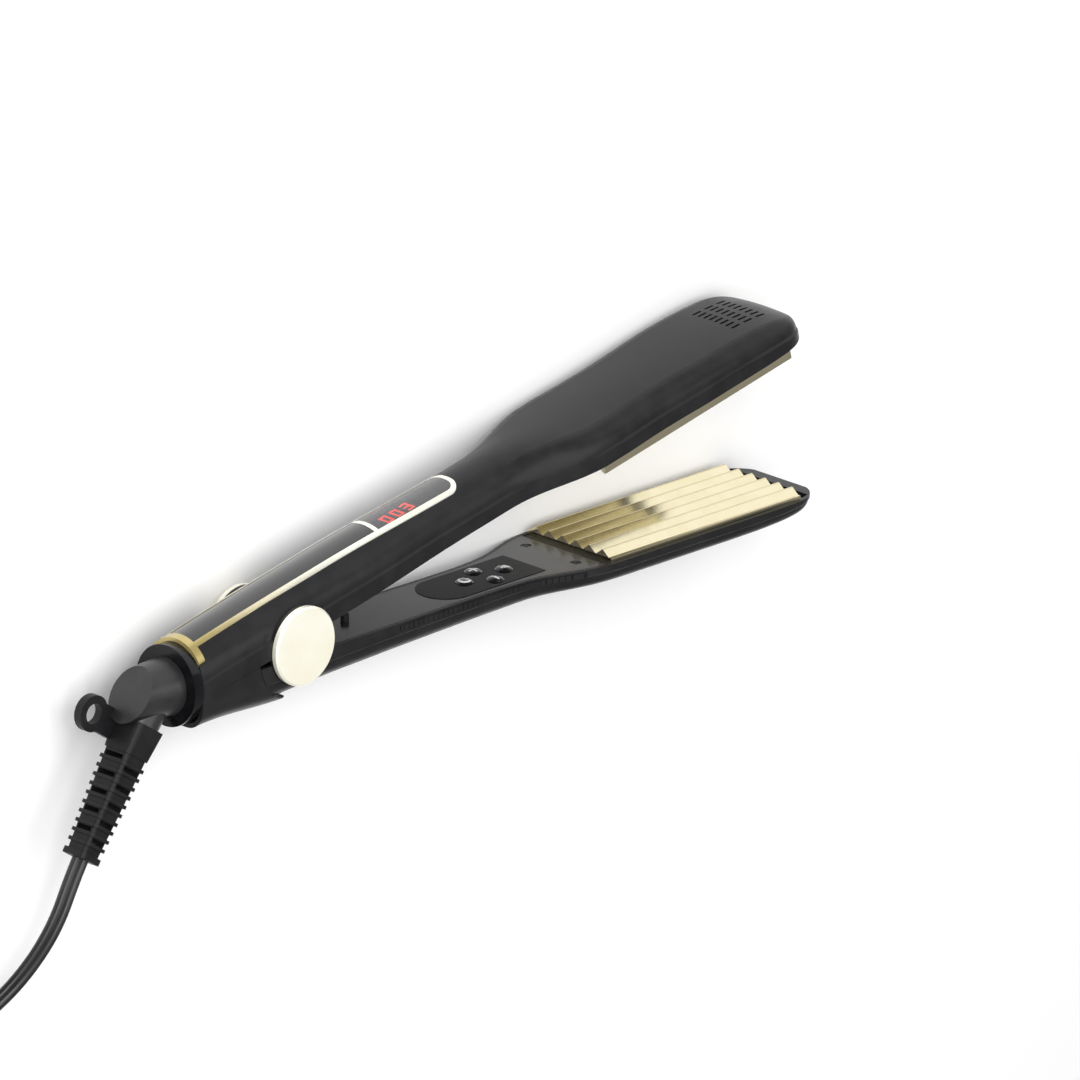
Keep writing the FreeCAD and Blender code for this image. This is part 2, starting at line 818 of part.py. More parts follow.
def lower_shell():
    """The lower arm's outer shell, with a round knuckle and two hinge hubs."""
    hollow = cut("lower_tube", shaped("lower_outside", lower_outside), LOWER_CAVITY)
    ahead = box("lower_ahead", (0, -REACH, -REACH), (REACH, REACH, REACH))
    knuckle = cylinder("lower_knuckle", "<knuckle_radius>", "80", (0, 0, -40))
    rounded = common("lower_rounded", hollow, fuse("lower_reach", ahead, knuckle))
    pocket = cheek_pockets()
    opened = cut("lower_opened", rounded, pocket)
    hubs = []
    for name, start in (("near", size("hub_inner")), ("far", -size("hub_outer"))):
        radius = "<pin_radius> + <bush_wall> + <hub_wall>"
        hub = cylinder(f"hub_{name}", radius, "<hub_outer> - <hub_inner>", (0, 0, start))
        floor = level(-1, LOWER_STATIONS[1][3] - size("wall") - 0.2)
        end = start + size("hub_outer") - size("hub_inner")
        web = box(f"web_{name}", (-3, floor, start), (5, 0, end))
        hubs += [hub, common(f"web_{name}_trimmed", web, shaped(f"web_space_{name}", lower_outside_tall()))]
    solid = fuse("lower_solid", opened, *hubs)
    start = -2 * size("hub_outer")
    bore = cylinder("hub_bore", "<pin_radius> + <bush_wall>", "4 * <hub_outer>", (0, 0, start))
    return common("lower_shell", cut("lower_bored", solid, bore), between_flats("lower_flats"))


def lower_outside_tall():
    """The lower arm's outside, carried up past the hinge axis."""
    return arm_loft(LOWER_STATIONS, -1, 0.0, -3.0)


def cheek_pockets():
    """The room that the main arm's cheeks turn in."""
    radius = "<cheek_radius> + <swing_gap>"
    inner = size("cheek_face") - size("cheek_thickness") - size("swing_gap")
    near = cylinder("pocket_near", radius, "40", (0, 0, inner))
    far = cylinder("pocket_far", radius, "40", (0, 0, -inner - 40))
    return group("cheek_pockets", near, far)


def fascia_prism(name, low, high, margin=0.0):
    """The fascia's outline: straight at the tip side and round at the tail side."""
    half = size("fascia_half_width") - margin
    start, end = size("fascia_start") + margin, size("fascia_end") - margin
    bulge = start + half * 0.9
    plan = [
        Part.makeLine(Vector(bulge, low, half), Vector(end, low, half)),
        Part.makeLine(Vector(end, low, half), Vector(end, low, -half)),
        Part.makeLine(Vector(end, low, -half), Vector(bulge, low, -half)),
        Part.Arc(Vector(bulge, low, -half), Vector(start, low, 0), Vector(bulge, low, half)).toShape(),
    ]
    return shaped(name, Part.Face(Part.Wire(plan)).extrude(Vector(0, high - low, 0)))


def button_places():
    """The four buttons' names and places, as (along, across)."""
    x, along, across = size("button_x"), size("button_along"), size("button_across")
    return {
        "power_button": (x - along, 0),
        "minus_button": (x, across),
        "plus_button": (x, -across),
        "mode_button": (x + along, 0),
    }


FASCIA_TOP = level(-1, size("face_offset") - size("fascia_proud"))
FASCIA_FLOOR = FASCIA_TOP - size("fascia_thickness")
COVER_FLOOR = level(-1, size("face_offset") + size("wall"))
BOARD_TOP = COVER_FLOOR - 1.6


def button_holes(name, clearance):
    """A bore for each button, through the fascia and the cover."""
    holes = []
    for button, (along, across) in button_places().items():
        radius = f"<button_radius> + <button_fit> + {clearance}"
        hole = cylinder(f"{name}_{button}", radius, "12", (along, level(-1, 0), across), (0, -1, 0))
        holes.append(hole)
    return group(name, *holes)


def button_fascia():
    """The glossy fascia around the buttons."""
    prism = fascia_prism("fascia_prism", FASCIA_FLOOR, FASCIA_TOP)
    return cut("button_fascia", prism, button_holes("fascia_holes", 0.0))


def lower_inner_cover():
    """The lower arm's inner cover, with the fascia's recess and the button bores."""
    blank = cover("lower_inner_cover", -1, LOWER_CAVITY, COVER_START, HOLDER_START)
    recess = fascia_prism("fascia_recess", FASCIA_FLOOR, FASCIA_TOP + 1)
    holes = [screw_hole(f"lower_screw_hole_{i}", -1, across) for i, across in enumerate((1, -1))]
    posts = []
    for index, along in enumerate((size("button_x") - 17, size("button_x") + 17)):
        at = (along, COVER_FLOOR, 0)
        posts.append(cylinder(f"board_post_{index}", "2", str(COVER_FLOOR - BOARD_TOP), at, (0, -1, 0)))
    opened = cut("lower_cover_open", blank, fuse("lower_cover_cuts", recess, *holes))
    bored = cut("lower_cover_bored", opened, button_holes("cover_holes", 0.2))
    return fuse("lower_inner_cover", bored, *posts)


def button(name, along, across):
    """A domed button with a stem that reaches down towards its switch."""
    radius = size("button_radius")
    top = size("button_proud")
    depth = size("fascia_thickness") + size("wall") - size("fascia_proud")
    lip = radius - 0.9
    cap = turning(
        name,
        [
            (0, top),
            (radius * 0.45, top - 0.12),
            (radius * 0.8, top - 0.45),
            (radius, top - 1.0),
            (radius, -depth + 0.6),
            (lip, -depth + 0.6),
            (1.2, -depth + 0.2),
            (1.2, -depth - 0.05),
            (0, -depth - 0.05),
        ],
    )
    cap.Placement = turned((along, FASCIA_TOP, across), (0, 1, 0))
    return cap


def button_board():
    """The board under the buttons, with a switch under each of them."""
    start, end = size("button_x") - 20, size("button_x") + 20
    corner = (start, BOARD_TOP - size("board_thickness"), -10)
    board = sized_box("board_plate", str(end - start), "<board_thickness>", "20", corner)
    switches = []
    for name, (along, across) in button_places().items():
        foot = (along, BOARD_TOP, across)
        switches.append(cylinder(f"switch_{name}", "1.6", "<switch_height>", foot, (0, 1, 0)))
    return fuse("button_board", board, *switches)


def grip_strips():
    """A fine-ribbed strip along each side of the lower arm."""
    start, end = 52.0, 143.0
    proud = shaped("grip_outer", arm_loft(LOWER_STATIONS, -1, 0.5, 0.0))
    inner = shaped("grip_inner", arm_loft(LOWER_STATIONS, -1, 0.0, -1.0))
    layer_solid = cut("grip_layer", proud, inner)
    low = size("face_offset") + 0.9
    band = common("grip_band", layer_solid, slab("grip_slab", -1, start, end, REACH, low, low + 2.2))
    teeth = []
    pitch = 2.6
    for index in range(int((end - start) / pitch)):
        along = start + (index + 0.5) * pitch
        for sign in (1, -1):
            half = half_width_at(LOWER_STATIONS, along) + 0.25
            first, last = sorted((sign * half, sign * (half + 3)))
            name = f"groove_{index}_{'near' if sign > 0 else 'far'}"
            teeth.append(box(name, (along - 0.45, -REACH, first), (along + 0.45, REACH, last)))
    return cut("grip_strips", band, group("grip_grooves", *teeth))


def half_width_at(stations, along):
    """The arm's half width between two stations."""
    for (x0, half0, *_), (x1, half1, *_) in zip(stations, stations[1:]):
        if x0 <= along <= x1:
            return half0 + (half1 - half0) * (along - x0) / (x1 - x0)
    return stations[-1][1]


def closing_stop():
    """The rubber stop near the hinge."""
    at = (39.5, level(-1, size("face_offset")), -1.5)
    return cylinder("closing_stop", "1.6", "2.6", at, (0, 1, 0))


# ---------------------------------------------------------------- boards in the main arm

BOARD_Y = 9.0
DISPLAY_TOP = 16.6


def control_board():
    """The control board, on two posts that stand on the inner cover."""
    board = sized_box("control_plate", "86", "<board_thickness>", "20", (24, BOARD_Y, -10))
    start = level(1, size("face_offset") + size("wall"))
    posts = []
    tall = str(BOARD_Y - start)
    for index, along in enumerate((30, 104)):
        posts.append(cylinder(f"control_post_{index}", "2.2", tall, (along, start, 0), OUTWARD))
    relay = box("control_relay", (30, BOARD_Y + size("board_thickness"), -5), (44, 15.5, 5))
    return fuse("control_board", board, *posts, relay)


def display_module():
    """The display block under the lens."""
    start = size("crossbar") + 6.3
    low = BOARD_Y + size("board_thickness")
    return box("display_module", (start, low, -4.7), (start + 28.4, DISPLAY_TOP, 4.7))


def display_digits():
    """Three seven-segment figures and a sign, on the display block."""
    bars = []
    tall, wide, stroke = 5.6, 3.2, 0.7
    lit = {0: "abcdef", 1: "abcdef", 2: "abcdg"}
    for digit in range(3):
        left = size("crossbar") + 9.5 + digit * 5.4
        places = {
            "a": (left, tall / 2 - stroke, wide, stroke),
            "g": (left, -stroke / 2, wide, stroke),
            "d": (left, -tall / 2, wide, stroke),
            "f": (left, 0, stroke, tall / 2),
            "e": (left, -tall / 2, stroke, tall / 2),
            "b": (left + wide - stroke, 0, stroke, tall / 2),
            "c": (left + wide - stroke, -tall / 2, stroke, tall / 2),
        }
        for segment in lit[digit]:
            x, z, length, height = places[segment]
            name = f"segment_{digit}_{segment}"
            bars.append(box(name, (x, DISPLAY_TOP, z), (x + length, DISPLAY_TOP + 0.25, z + height)))
    return fuse("display_digits", *bars)


# ---------------------------------------------------------------- swivel, relief and cord

def swivel_collar():
    """The collar that closes the tail and carries the elbow's neck."""
    flange_start = along_swivel(0)
    flange = cylinder("collar_flange", "<collar_radius>", "<collar_length>", flange_start, SWIVEL_AXIS)
    plug_start = along_swivel(-size("collar_plug_length"))
    plug = cylinder("collar_plug", "<collar_plug_radius>", "<collar_plug_length>", plug_start, SWIVEL_AXIS)
    bore = cylinder("collar_bore", "<neck_radius> + <neck_fit>", "40", along_swivel(-20), SWIVEL_AXIS)
    return cut("swivel_collar", fuse("collar_solid", flange, plug), bore)


def swivel_retainer():
    """The ring on the neck that keeps the elbow in the collar."""
    start = along_swivel(-size("collar_plug_length") - 1.7)
    return ring("swivel_retainer", "<neck_radius> + 2.4", "<contact_radius>", "1.5", start, SWIVEL_AXIS)


def contact_rings():
    """Two brass rings on the neck's end that pass the current."""
    rings = []
    for index, distance in enumerate((7.6, 10.4)):
        start = along_swivel(-size("collar_plug_length") - distance + 2.0)
        name = f"contact_{index}"
        rings.append(ring(name, "<contact_radius> + 0.8", "<contact_radius>", "1.4", start, SWIVEL_AXIS))
    return group("contact_rings", *rings)


def brush_holder():
    """The block on the tail cover that presses the brushes against the rings."""
    top = along_swivel(-size("collar_plug_length") - 6.3)
    block = box("brush_block", (top.x - 3.2, -14, -5), (top.x + 3.4, -5.2, 5))
    return common("brush_holder", block, shaped("brush_space", tail_loft(-size("wall"))))


def swivel_elbow():
    """The swivel elbow: a neck, a tapered barrel with a flat oblique end, and the relief's root."""
    neck = cylinder(
        "elbow_neck",
        "<neck_radius>",
        "<collar_plug_length> + <collar_length> + 1.5",
        along_swivel(-size("collar_plug_length") - 0.2),
        SWIVEL_AXIS,
    )
    end_start = along_swivel(-size("collar_plug_length") - 9.2)
    end = cylinder("elbow_end", "<contact_radius>", "9", end_start, SWIVEL_AXIS)
    barrel_start = along_swivel(size("collar_length") + 0.2)
    barrel = cone(
        "elbow_barrel",
        "<elbow_radius>",
        "<elbow_end_radius>",
        "<elbow_length>",
        barrel_start,
        SWIVEL_AXIS,
    )
    root = cone(
        "elbow_root",
        "<relief_top> + 0.6",
        "<relief_top>",
        "12",
        along_relief(2),
        RELIEF_AXIS,
    )
    facet = doc.addObject("Part::Box", "elbow_facet")
    facet.Length = facet.Width = 2 * MIDDLE_BOX_HALF
    facet.Height = MIDDLE_BOX_HALF
    corner = Placement(Vector(-MIDDLE_BOX_HALF, -MIDDLE_BOX_HALF, 0), Rotation())
    middle = along_swivel(size("elbow_length") - 6.0)
    facet.Placement = turned(middle, RELIEF_BACK).multiply(corner)
    solid = fuse("elbow_solid", cut("elbow_cut", barrel, facet), neck, end, root)
    return cut("swivel_elbow", solid, relief_socket("relief_socket"))


def relief_socket(name):
    """The bore in the elbow that holds the strain relief."""
    return cylinder(name, "<relief_end> + 0.6", "14", along_relief(8), RELIEF_AXIS)


def strain_relief():
    """The strain relief: a sleeve, a ladder of slots with teeth, an end flange and a hanging loop."""
    top, end = size("relief_top"), size("relief_end")
    sleeve_start, sleeve = 14.0, size("relief_sleeve")
    length = size("relief_length")
    plug = cylinder("relief_plug", "<relief_end> + 0.6", "6.1", along_relief(8), RELIEF_AXIS)
    smooth = tapered_block("relief_sleeve_solid", sleeve_start, sleeve, top, top - 0.9)
    ladder = tapered_block("relief_ladder", sleeve, length - size("relief_flange"), top - 1.5, end)
    ladder_end = length - size("relief_flange")
    flange = tapered_block("relief_flange_solid", ladder_end, length, end + 1.1, end + 1.1)
    slots, teeth = [], []
    pitch = size("slot_pitch")
    count = int((length - size("relief_flange") - sleeve - 1.5) / pitch)
    for index in range(count):
        start = sleeve + 1.2 + index * pitch
        share = (start - sleeve) / (length - sleeve)
        half = top - 1.5 + (end - top + 1.5) * share
        name = f"slot_{index}"
        across_first = index % 2 == 0
        slots.append(relief_slot(name, start, pitch * 0.5, half, across_first))
        first, last = start + pitch * 0.55, start + pitch * 0.9
        teeth.append(tapered_block(f"tooth_{index}", first, last, half + 0.8, half + 0.8))
    lug = loop_lug()
    solid = fuse("relief_solid", plug, smooth, ladder, flange, *teeth, *lug)
    hole = cylinder("loop_hole", "<loop_hole>", "30", loop_centre() - HINGE_AXIS * 15, HINGE_AXIS)
    bore = cylinder("relief_bore", "<cord_diameter> / 2", str(length + 5), along_relief(9), RELIEF_AXIS)
    elbow_space = cut("elbow_space", doc.getObject("elbow_solid"), relief_socket("space_socket"))
    trimmed = cut("relief_trimmed", solid, elbow_space)
    return cut("strain_relief", trimmed, fuse("relief_cuts", bore, hole, *slots))


def loop_centre():
    """The middle of the hanging loop."""
    return along_relief(18.0) + RELIEF_BACK * 19.5 + HINGE_AXIS * -6.2


def loop_lug():
    """The hanging loop and the web that joins it to the sleeve."""
    thick = size("loop_thickness")
    centre = loop_centre()
    foot = centre - HINGE_AXIS * (thick / 2)
    disc = cylinder("loop_disc", "<loop_radius>", "<loop_thickness>", foot, HINGE_AXIS)
    web = doc.addObject("Part::Box", "loop_web")
    web.Length, web.Width, web.Height = 11.0, 12.0, thick
    root = along_relief(18.0) + HINGE_AXIS * (-6.2 - thick / 2) - RELIEF_AXIS * 5.5
    web.Placement = Placement(root, in_relief()).multiply(Placement(Vector(0, -16, 0), Rotation()))
    return [disc, web]


def in_relief():
    """A rotation whose X is the relief's axis, Y its back and Z the hinge's."""
    return Rotation(RELIEF_AXIS, RELIEF_BACK * -1, HINGE_AXIS, "XZY")


def tapered_block(name, start, end, half, end_half):
    """A rounded square bar along the relief, between two distances, with two half widths."""
    wires = []
    for distance, reach in ((start, half), (end, end_half)):
        wires.append(rounded_square(along_relief(distance), reach))
    return shaped(name, Part.makeLoft(wires, True, True))


def rounded_square(centre, reach):
    """A square outline with round corners, across the relief's axis."""
    corner = reach * 0.35
    flat = reach - corner
    back, up = RELIEF_BACK, HINGE_AXIS
    bend = corner * math.cos(math.pi / 4)
    edges = []
    turns = [(back, up), (up, back * -1), (back * -1, up * -1), (up * -1, back)]
    for first, second in turns:
        start = centre + first * reach + second * -flat
        stop = centre + first * reach + second * flat
        after = centre + second * reach + first * flat
        middle = centre + first * (flat + bend) + second * (flat + bend)
        edges.append(Part.makeLine(start, stop))
        edges.append(Part.Arc(stop, middle, after).toShape())
    return Part.Wire(edges)


def relief_slot(name, start, length, half, across_first):
    """One slot of the ladder, cut through along the hinge or across it."""
    made = doc.addObject("Part::Box", name)
    wide = (half - 1.6) * 2
    deep = 4 * half
    across, through = (deep, wide) if across_first else (wide, deep)
    made.Length, made.Width, made.Height = length, across, through
    centred = Placement(Vector(0, -across / 2, -through / 2), Rotation())
    made.Placement = Placement(along_relief(start), in_relief()).multiply(centred)
    return made


def rounded_path(points):
    """A path of straight runs joined by tangent arcs, and the radii of the arcs."""
    corners = [Vector(*point) for point in points]
    edges, radii = [], []
    start = corners[0]
    for before, corner, after in zip(corners, corners[1:], corners[2:]):
        back, ahead = (before - corner), (after - corner)
        half_turn = (math.pi - back.getAngle(ahead)) / 2
        radius = 0.45 * min(back.Length, ahead.Length) / math.tan(half_turn)
        trim = radius * math.tan(half_turn)
        entry = corner + back.normalize() * trim
        leave = corner + ahead.normalize() * trim
        inward = (back + ahead).normalize()
        middle = corner + inward * (radius / math.cos(half_turn) - radius)
        edges.append(Part.LineSegment(start, entry).toShape())
        edges.append(Part.Arc(entry, middle, leave).toShape())
        radii.append(radius)
        start = leave
    edges.append(Part.LineSegment(start, corners[-1]).toShape())
    return Part.Wire(edges), radii


def cord_tube(name, points):
    """A stretch of the cord as a round tube along its path."""
    path, radii = rounded_path(points)
    first = path.Edges[0]
    heading = first.tangentAt(first.FirstParameter)
    area = math.pi * (size("cord_diameter") / 2) ** 2
    profile = Part.Wire(Part.makeCircle(size("cord_diameter") / 2, Vector(*points[0]), heading))
    tube = path.makePipeShell([profile], True, False)
    print(name, "radii", [round(radius, 1) for radius in radii], "length", round(path.Length, 1))
    assert abs(tube.Volume / (area * path.Length) - 1) < 0.02
    return cut(name, shaped(name + "_tube", tube), coil_ring(name + "_coil"))


def coil_ring(name):
    """The ring that the put-away turns fill."""
    made = doc.addObject("Part::Torus", name)
    bound(made, Radius1="<coil_radius>", Radius2="<coil_bundle>")
    made.Placement = Placement(COIL_CENTRE, Rotation())
    return made


def cord_tie():
    """The strap around the coil's turns."""
    at = COIL_CENTRE + Vector(-size("coil_radius"), -size("tie_width") / 2, 0)
    outer, inner = "<coil_bundle> + <tie_wall>", "<coil_bundle>"
    strap = ring("tie_strap", outer, inner, "<tie_width>", at, OUTWARD)
    return cut("cord_tie", strap, coil_ring("tie_coil"))


def plug_place():
    """Where the plug's back stands and which way it points."""
    before, last = (Vector(*point) for point in TAIL_POINTS[-2:])
    heading = (last - before).normalize()
    heading.z = 0
    return last, heading.normalize()


def plug_body():
    """The flat two-pin plug's moulded body."""
    end, heading = plug_place()
    length, width, height = size("plug_length"), size("plug_width"), size("plug_height")
    plan = [
        (-4.5, 0),
        (-5.5, length * 0.3),
        (-width / 2, length * 0.55),
        (-width / 2, length),
        (width / 2, length),
        (width / 2, length * 0.55),
        (5.5, length * 0.3),
        (4.5, 0),
    ]
    body = pad("plug_body", "XY_Plane", plan, "<plug_height>", True)
    body.Placement = Placement(end, upright(heading))
    return body


def upright(heading):
    """A rotation whose Y is a level heading and whose Z stays up."""
    return Rotation(Vector(0, 1, 0), heading)


def plug_pins():
    """The plug's two round pins."""
    end, heading = plug_place()
    side = heading.cross(HINGE_AXIS)
    pins = []
    for index, sign in enumerate((1, -1)):
        at = end + heading * size("plug_length") + side * (sign * size("plug_pin_spacing") / 2)
        pins.append(cylinder(f"plug_pin_{index}", "<plug_pin_radius>", "<plug_pin_length>", at, heading))
    return group("plug_pins", *pins)


# ---------------------------------------------------------------- assembly

MAIN_ARM = [
    main_shell(),
    main_inner_cover(),
    tail_cover(),
    trim_frame(),
    display_lens(),
    accent_panel(),
    control_board(),
    display_module(),
    display_digits(),
    *main_plate_and_heater(),
    sensor("thermal_fuse", 1, 200.0, 1.6, 12.0),
    screws("main_screws", 1),
    swivel_collar(),
    brush_holder(),
    hinge_pin(),
    hinge_cap("near_hinge_cap", 1),
    hinge_cap("far_hinge_cap", -1),
    hinge_spring(),
]
LOWER_ARM = [
    lower_shell(),
    lower_inner_cover(),
    button_fascia(),
    button_board(),
    grip_strips(),
    *lower_plate_and_heater(),
    sensor("thermistor", -1, 205.0, 0.6, 5.0),
    screws("lower_screws", -1),
    hinge_bushes(),
    closing_stop(),
]
BUTTONS = [button(name, *place) for name, place in button_places().items()]
SWIVEL = [
    swivel_elbow(),
    swivel_retainer(),
    contact_rings(),
    strain_relief(),
]
CORD = [
    cord_tube("power_cord", CORD_POINTS),
    coil_ring("cord_coil"),
    cord_tube("cord_tail", TAIL_POINTS),
    cord_tie(),
    plug_body(),
    plug_pins(),
]

doc.recompute()


def move(pieces, placement):
    """Moves finished pieces as one."""
    for piece in pieces:
        piece.Placement = placement.multiply(piece.Placement)


opening = Placement(Vector(), Rotation(HINGE_AXIS, -size("opening_angle")))
move(LOWER_ARM + BUTTONS, opening)
doc.recompute()

extent = FreeCAD.BoundBox()
for piece in MAIN_ARM + LOWER_ARM + BUTTONS + SWIVEL:
    extent.add(piece.Shape.optimalBoundingBox(False))
shift = Vector(-extent.Center.x, -extent.Center.y, -extent.ZMin)
PIECES = MAIN_ARM + LOWER_ARM + BUTTONS + SWIVEL + CORD
move(PIECES, Placement(shift, Rotation()))
doc.recompute()
print("shift", [round(value, 4) for value in shift], "size", extent.XLength, extent.YLength, extent.ZLength)

for item in doc.Objects:
    assert not {"Invalid", "Error"} & set(item.State), f"{item.Name} didn't build"
for piece in PIECES:
    piece.Label = piece.Name
    assert not piece.Shape.isNull(), f"{piece.Name} has no shape"
    assert piece.Shape.isValid(), f"{piece.Name} isn't valid"
    assert piece.Shape.Solids, f"{piece.Name} has no solid"

os.makedirs("parts", exist_ok=True)
for piece in PIECES:
    piece.Shape.exportStep(f"parts/{piece.Label}.step")
print(len(PIECES), "nodes")
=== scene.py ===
import json
import logging
import math
from dataclasses import dataclass, field
from enum import Enum
from typing import Any, Optional, Union

import bmesh
import bpy
from mathutils import Matrix, Vector

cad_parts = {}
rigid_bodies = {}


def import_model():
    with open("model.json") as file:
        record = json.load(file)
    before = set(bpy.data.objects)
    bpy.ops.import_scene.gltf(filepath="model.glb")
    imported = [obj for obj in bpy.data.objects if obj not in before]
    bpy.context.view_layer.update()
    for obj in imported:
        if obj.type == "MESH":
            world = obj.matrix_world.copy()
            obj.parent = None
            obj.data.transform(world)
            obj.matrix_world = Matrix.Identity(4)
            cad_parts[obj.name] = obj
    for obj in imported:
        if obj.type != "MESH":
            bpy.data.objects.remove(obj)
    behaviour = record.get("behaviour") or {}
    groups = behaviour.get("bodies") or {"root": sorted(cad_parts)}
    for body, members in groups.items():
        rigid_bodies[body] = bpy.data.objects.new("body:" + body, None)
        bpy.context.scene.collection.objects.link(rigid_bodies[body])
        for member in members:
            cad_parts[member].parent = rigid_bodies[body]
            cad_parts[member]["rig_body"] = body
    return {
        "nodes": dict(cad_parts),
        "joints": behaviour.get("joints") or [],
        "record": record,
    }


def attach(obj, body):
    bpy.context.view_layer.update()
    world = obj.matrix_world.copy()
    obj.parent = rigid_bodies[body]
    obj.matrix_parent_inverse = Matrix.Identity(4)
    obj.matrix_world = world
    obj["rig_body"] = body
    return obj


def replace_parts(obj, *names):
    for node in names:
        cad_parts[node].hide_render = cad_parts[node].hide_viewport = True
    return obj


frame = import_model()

logging.basicConfig(level=logging.INFO, format="%(name)s: %(message)s")
log = logging.getLogger("crimper")

Colour = tuple[float, float, float]
Profile = list[tuple[float, float]]
MM = 0.001
CLOUD = (0.35, 0.65)
CONTRAST = 2.5
CLOUD_LOSS = 0.75
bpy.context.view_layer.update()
JOINTS = {joint["name"]: joint for joint in frame["joints"]}
HINGE = Vector(JOINTS["arm_hinge"]["pos_m"])
OPENING = math.radians(JOINTS["arm_hinge"]["range_deg"][1])
ALONG_LOWER = Vector((math.cos(OPENING), -math.sin(OPENING), 0.0))
OUT_OF_LOWER = Vector((math.sin(OPENING), math.cos(OPENING), 0.0))
UP = Vector((0.0, 0.0, 1.0))


def place(along: float, out: float, up: float) -> Vector:
    """Turn a point beside the hinge into a point of the frame.

    Args:
        along: Distance from the hinge towards the main arm's tip, in millimetres.
        out: Distance out of the main arm's back, in millimetres.
        up: Height above the tool's mid plane, in millimetres.

    Returns:
        The point in the row frame, in metres.
    """
    return HINGE + Vector((along, out, up)) * MM


# ------------------------------------------------------------------ shader maths


class Value:
    """A shader socket on which sums are written as ordinary expressions."""

    def __init__(self, shader: "Shader", socket: bpy.types.NodeSocket) -> None:
        """Keep the socket and the shader that it belongs to."""
        self.shader = shader
        self.socket = socket

    def maths(self, operation: str, *others: Any) -> "Value":
        """Add a Math node that starts from this value.

        Args:
            operation: The Math node's operation.
            others: The node's other operands, as numbers or values.

        Returns:
            The result's value.
        """
        operands = dict(enumerate((self, *others)))
        return self.shader.node("ShaderNodeMath", {"operation": operation}, operands)

    def __add__(self, other: Any) -> "Value":
        """This value plus another."""
        return self.maths("ADD", other)

    def __mul__(self, other: Any) -> "Value":
        """This value times another."""
        return self.maths("MULTIPLY", other)

    def __sub__(self, other: Any) -> "Value":
        """This value less another."""
        return self.maths("SUBTRACT", other)

    def __rsub__(self, other: Any) -> "Value":
        """Another value less this one."""
        return self * -1.0 + other

    def __truediv__(self, other: float) -> "Value":
        """This value divided by another."""
        return self.maths("DIVIDE", other)

    def within(self, low: float, high: float) -> "Value":
        """Spread the stretch from low to high over 0 to 1, with soft ends.

        Args:
            low: The value that becomes 0.
            high: The value that becomes 1.

        Returns:
            The share, kept between 0 and 1.
        """
        settings = {"interpolation_type": "SMOOTHSTEP"}
        inputs = {"Value": self, "From Min": low, "From Max": high}
        return self.shader.node("ShaderNodeMapRange", settings, inputs)


class Shader:
    """A material's node tree, with one method for any kind of node."""

    def __init__(self, name: str) -> None:
        """Start an empty material with that name."""
        self.material = bpy.data.materials.new(name)
        self.material.use_nodes = True
        self.tree = self.material.node_tree
        self.tree.nodes.clear()

    def feed(self, socket: bpy.types.NodeSocket, value: Any) -> None:
        """Link a value to a socket, or set the socket's own number or colour."""
        if isinstance(value, Value):
            self.tree.links.new(value.socket, socket)
        elif socket.type == "RGBA" and len(value) == 3:
            socket.default_value = (*value, 1.0)
        else:
            socket.default_value = value

    def node(
        self,
        kind: str,
        settings: Optional[dict[str, Any]] = None,
        inputs: Optional[dict[Union[int, str], Any]] = None,
        output: Union[int, str] = 0,
    ) -> Value:
        """Add a node of any type.

        Args:
            kind: The node's type.
            settings: The node's own properties, which are set first.
            inputs: What each socket gets, by name or number.
            output: The output that the result reads.

        Returns:
            The value of that output.
        """
        made = self.tree.nodes.new(kind)
        for name, value in (settings or {}).items():
            setattr(made, name, value)
        for name, value in (inputs or {}).items():
            self.feed(made.inputs[name], value)
        return Value(self, made.outputs[output])

    def position(self) -> Value:
        """The place on the piece, in metres."""
        return self.node("ShaderNodeTexCoord", output="Object")

    def mapped(self, scale: Colour) -> Value:
        """The place on the piece, stretched by a factor along each axis."""
        inputs = {"Vector": self.position(), "Scale": scale}
        return self.node("ShaderNodeMapping", {"vector_type": "POINT"}, inputs)

    def axis(self, name: str, vector: Optional[Value] = None) -> Value:
        """One coordinate of a place, by the name X, Y or Z."""
        inputs = {"Vector": vector or self.position()}
        return self.node("ShaderNodeSeparateXYZ", inputs=inputs, output=name)

    def noise(self, size: float, detail: float = 2.0, vector: Optional[Value] = None) -> Value:
        """A cloudy pattern.

        Args:
            size: The size of a patch, in millimetres.
            detail: How many finer layers it has.
            vector: The place to read, or the piece's own.

        Returns:
            The pattern, about 0.3 to 0.7.
        """
        inputs = {"Vector": vector or self.position(), "Scale": 1.0 / (size * MM), "Detail": detail}
        return self.node("ShaderNodeTexNoise", inputs=inputs)

    def mix(self, share: Any, first: Any, second: Any) -> Value:
        """Blend two colours by a share."""
        return self.node("ShaderNodeMix", {"data_type": "RGBA"}, {0: share, 6: first, 7: second}, 2)

    def bump(self, height: Value, depth: float) -> Value:
        """A bumped normal.

        Args:
            height: The height pattern, from 0 to 1.
            depth: The height of a full step, in millimetres.

        Returns:
            The normal.
        """
        inputs = {"Height": height, "Distance": depth * MM, "Strength": 1.0}
        return self.node("ShaderNodeBump", inputs=inputs)

    def finish(self, **inputs: Any) -> bpy.types.Material:
        """Close the tree with a surface shader.

        Args:
            inputs: The surface shader's sockets, with _ for a space.

        Returns:
            The material.
        """
        named = {name.replace("_", " "): value for name, value in inputs.items()}
        surface = self.node("ShaderNodeBsdfPrincipled", inputs=named)
        self.node_output(surface)
        return self.material

    def node_output(self, surface: Value) -> None:
        """Send a shader to the material's output."""
        output = self.tree.nodes.new("ShaderNodeOutputMaterial")
        self.tree.links.new(surface.socket, output.inputs["Surface"])


# ------------------------------------------------------------------ finishes


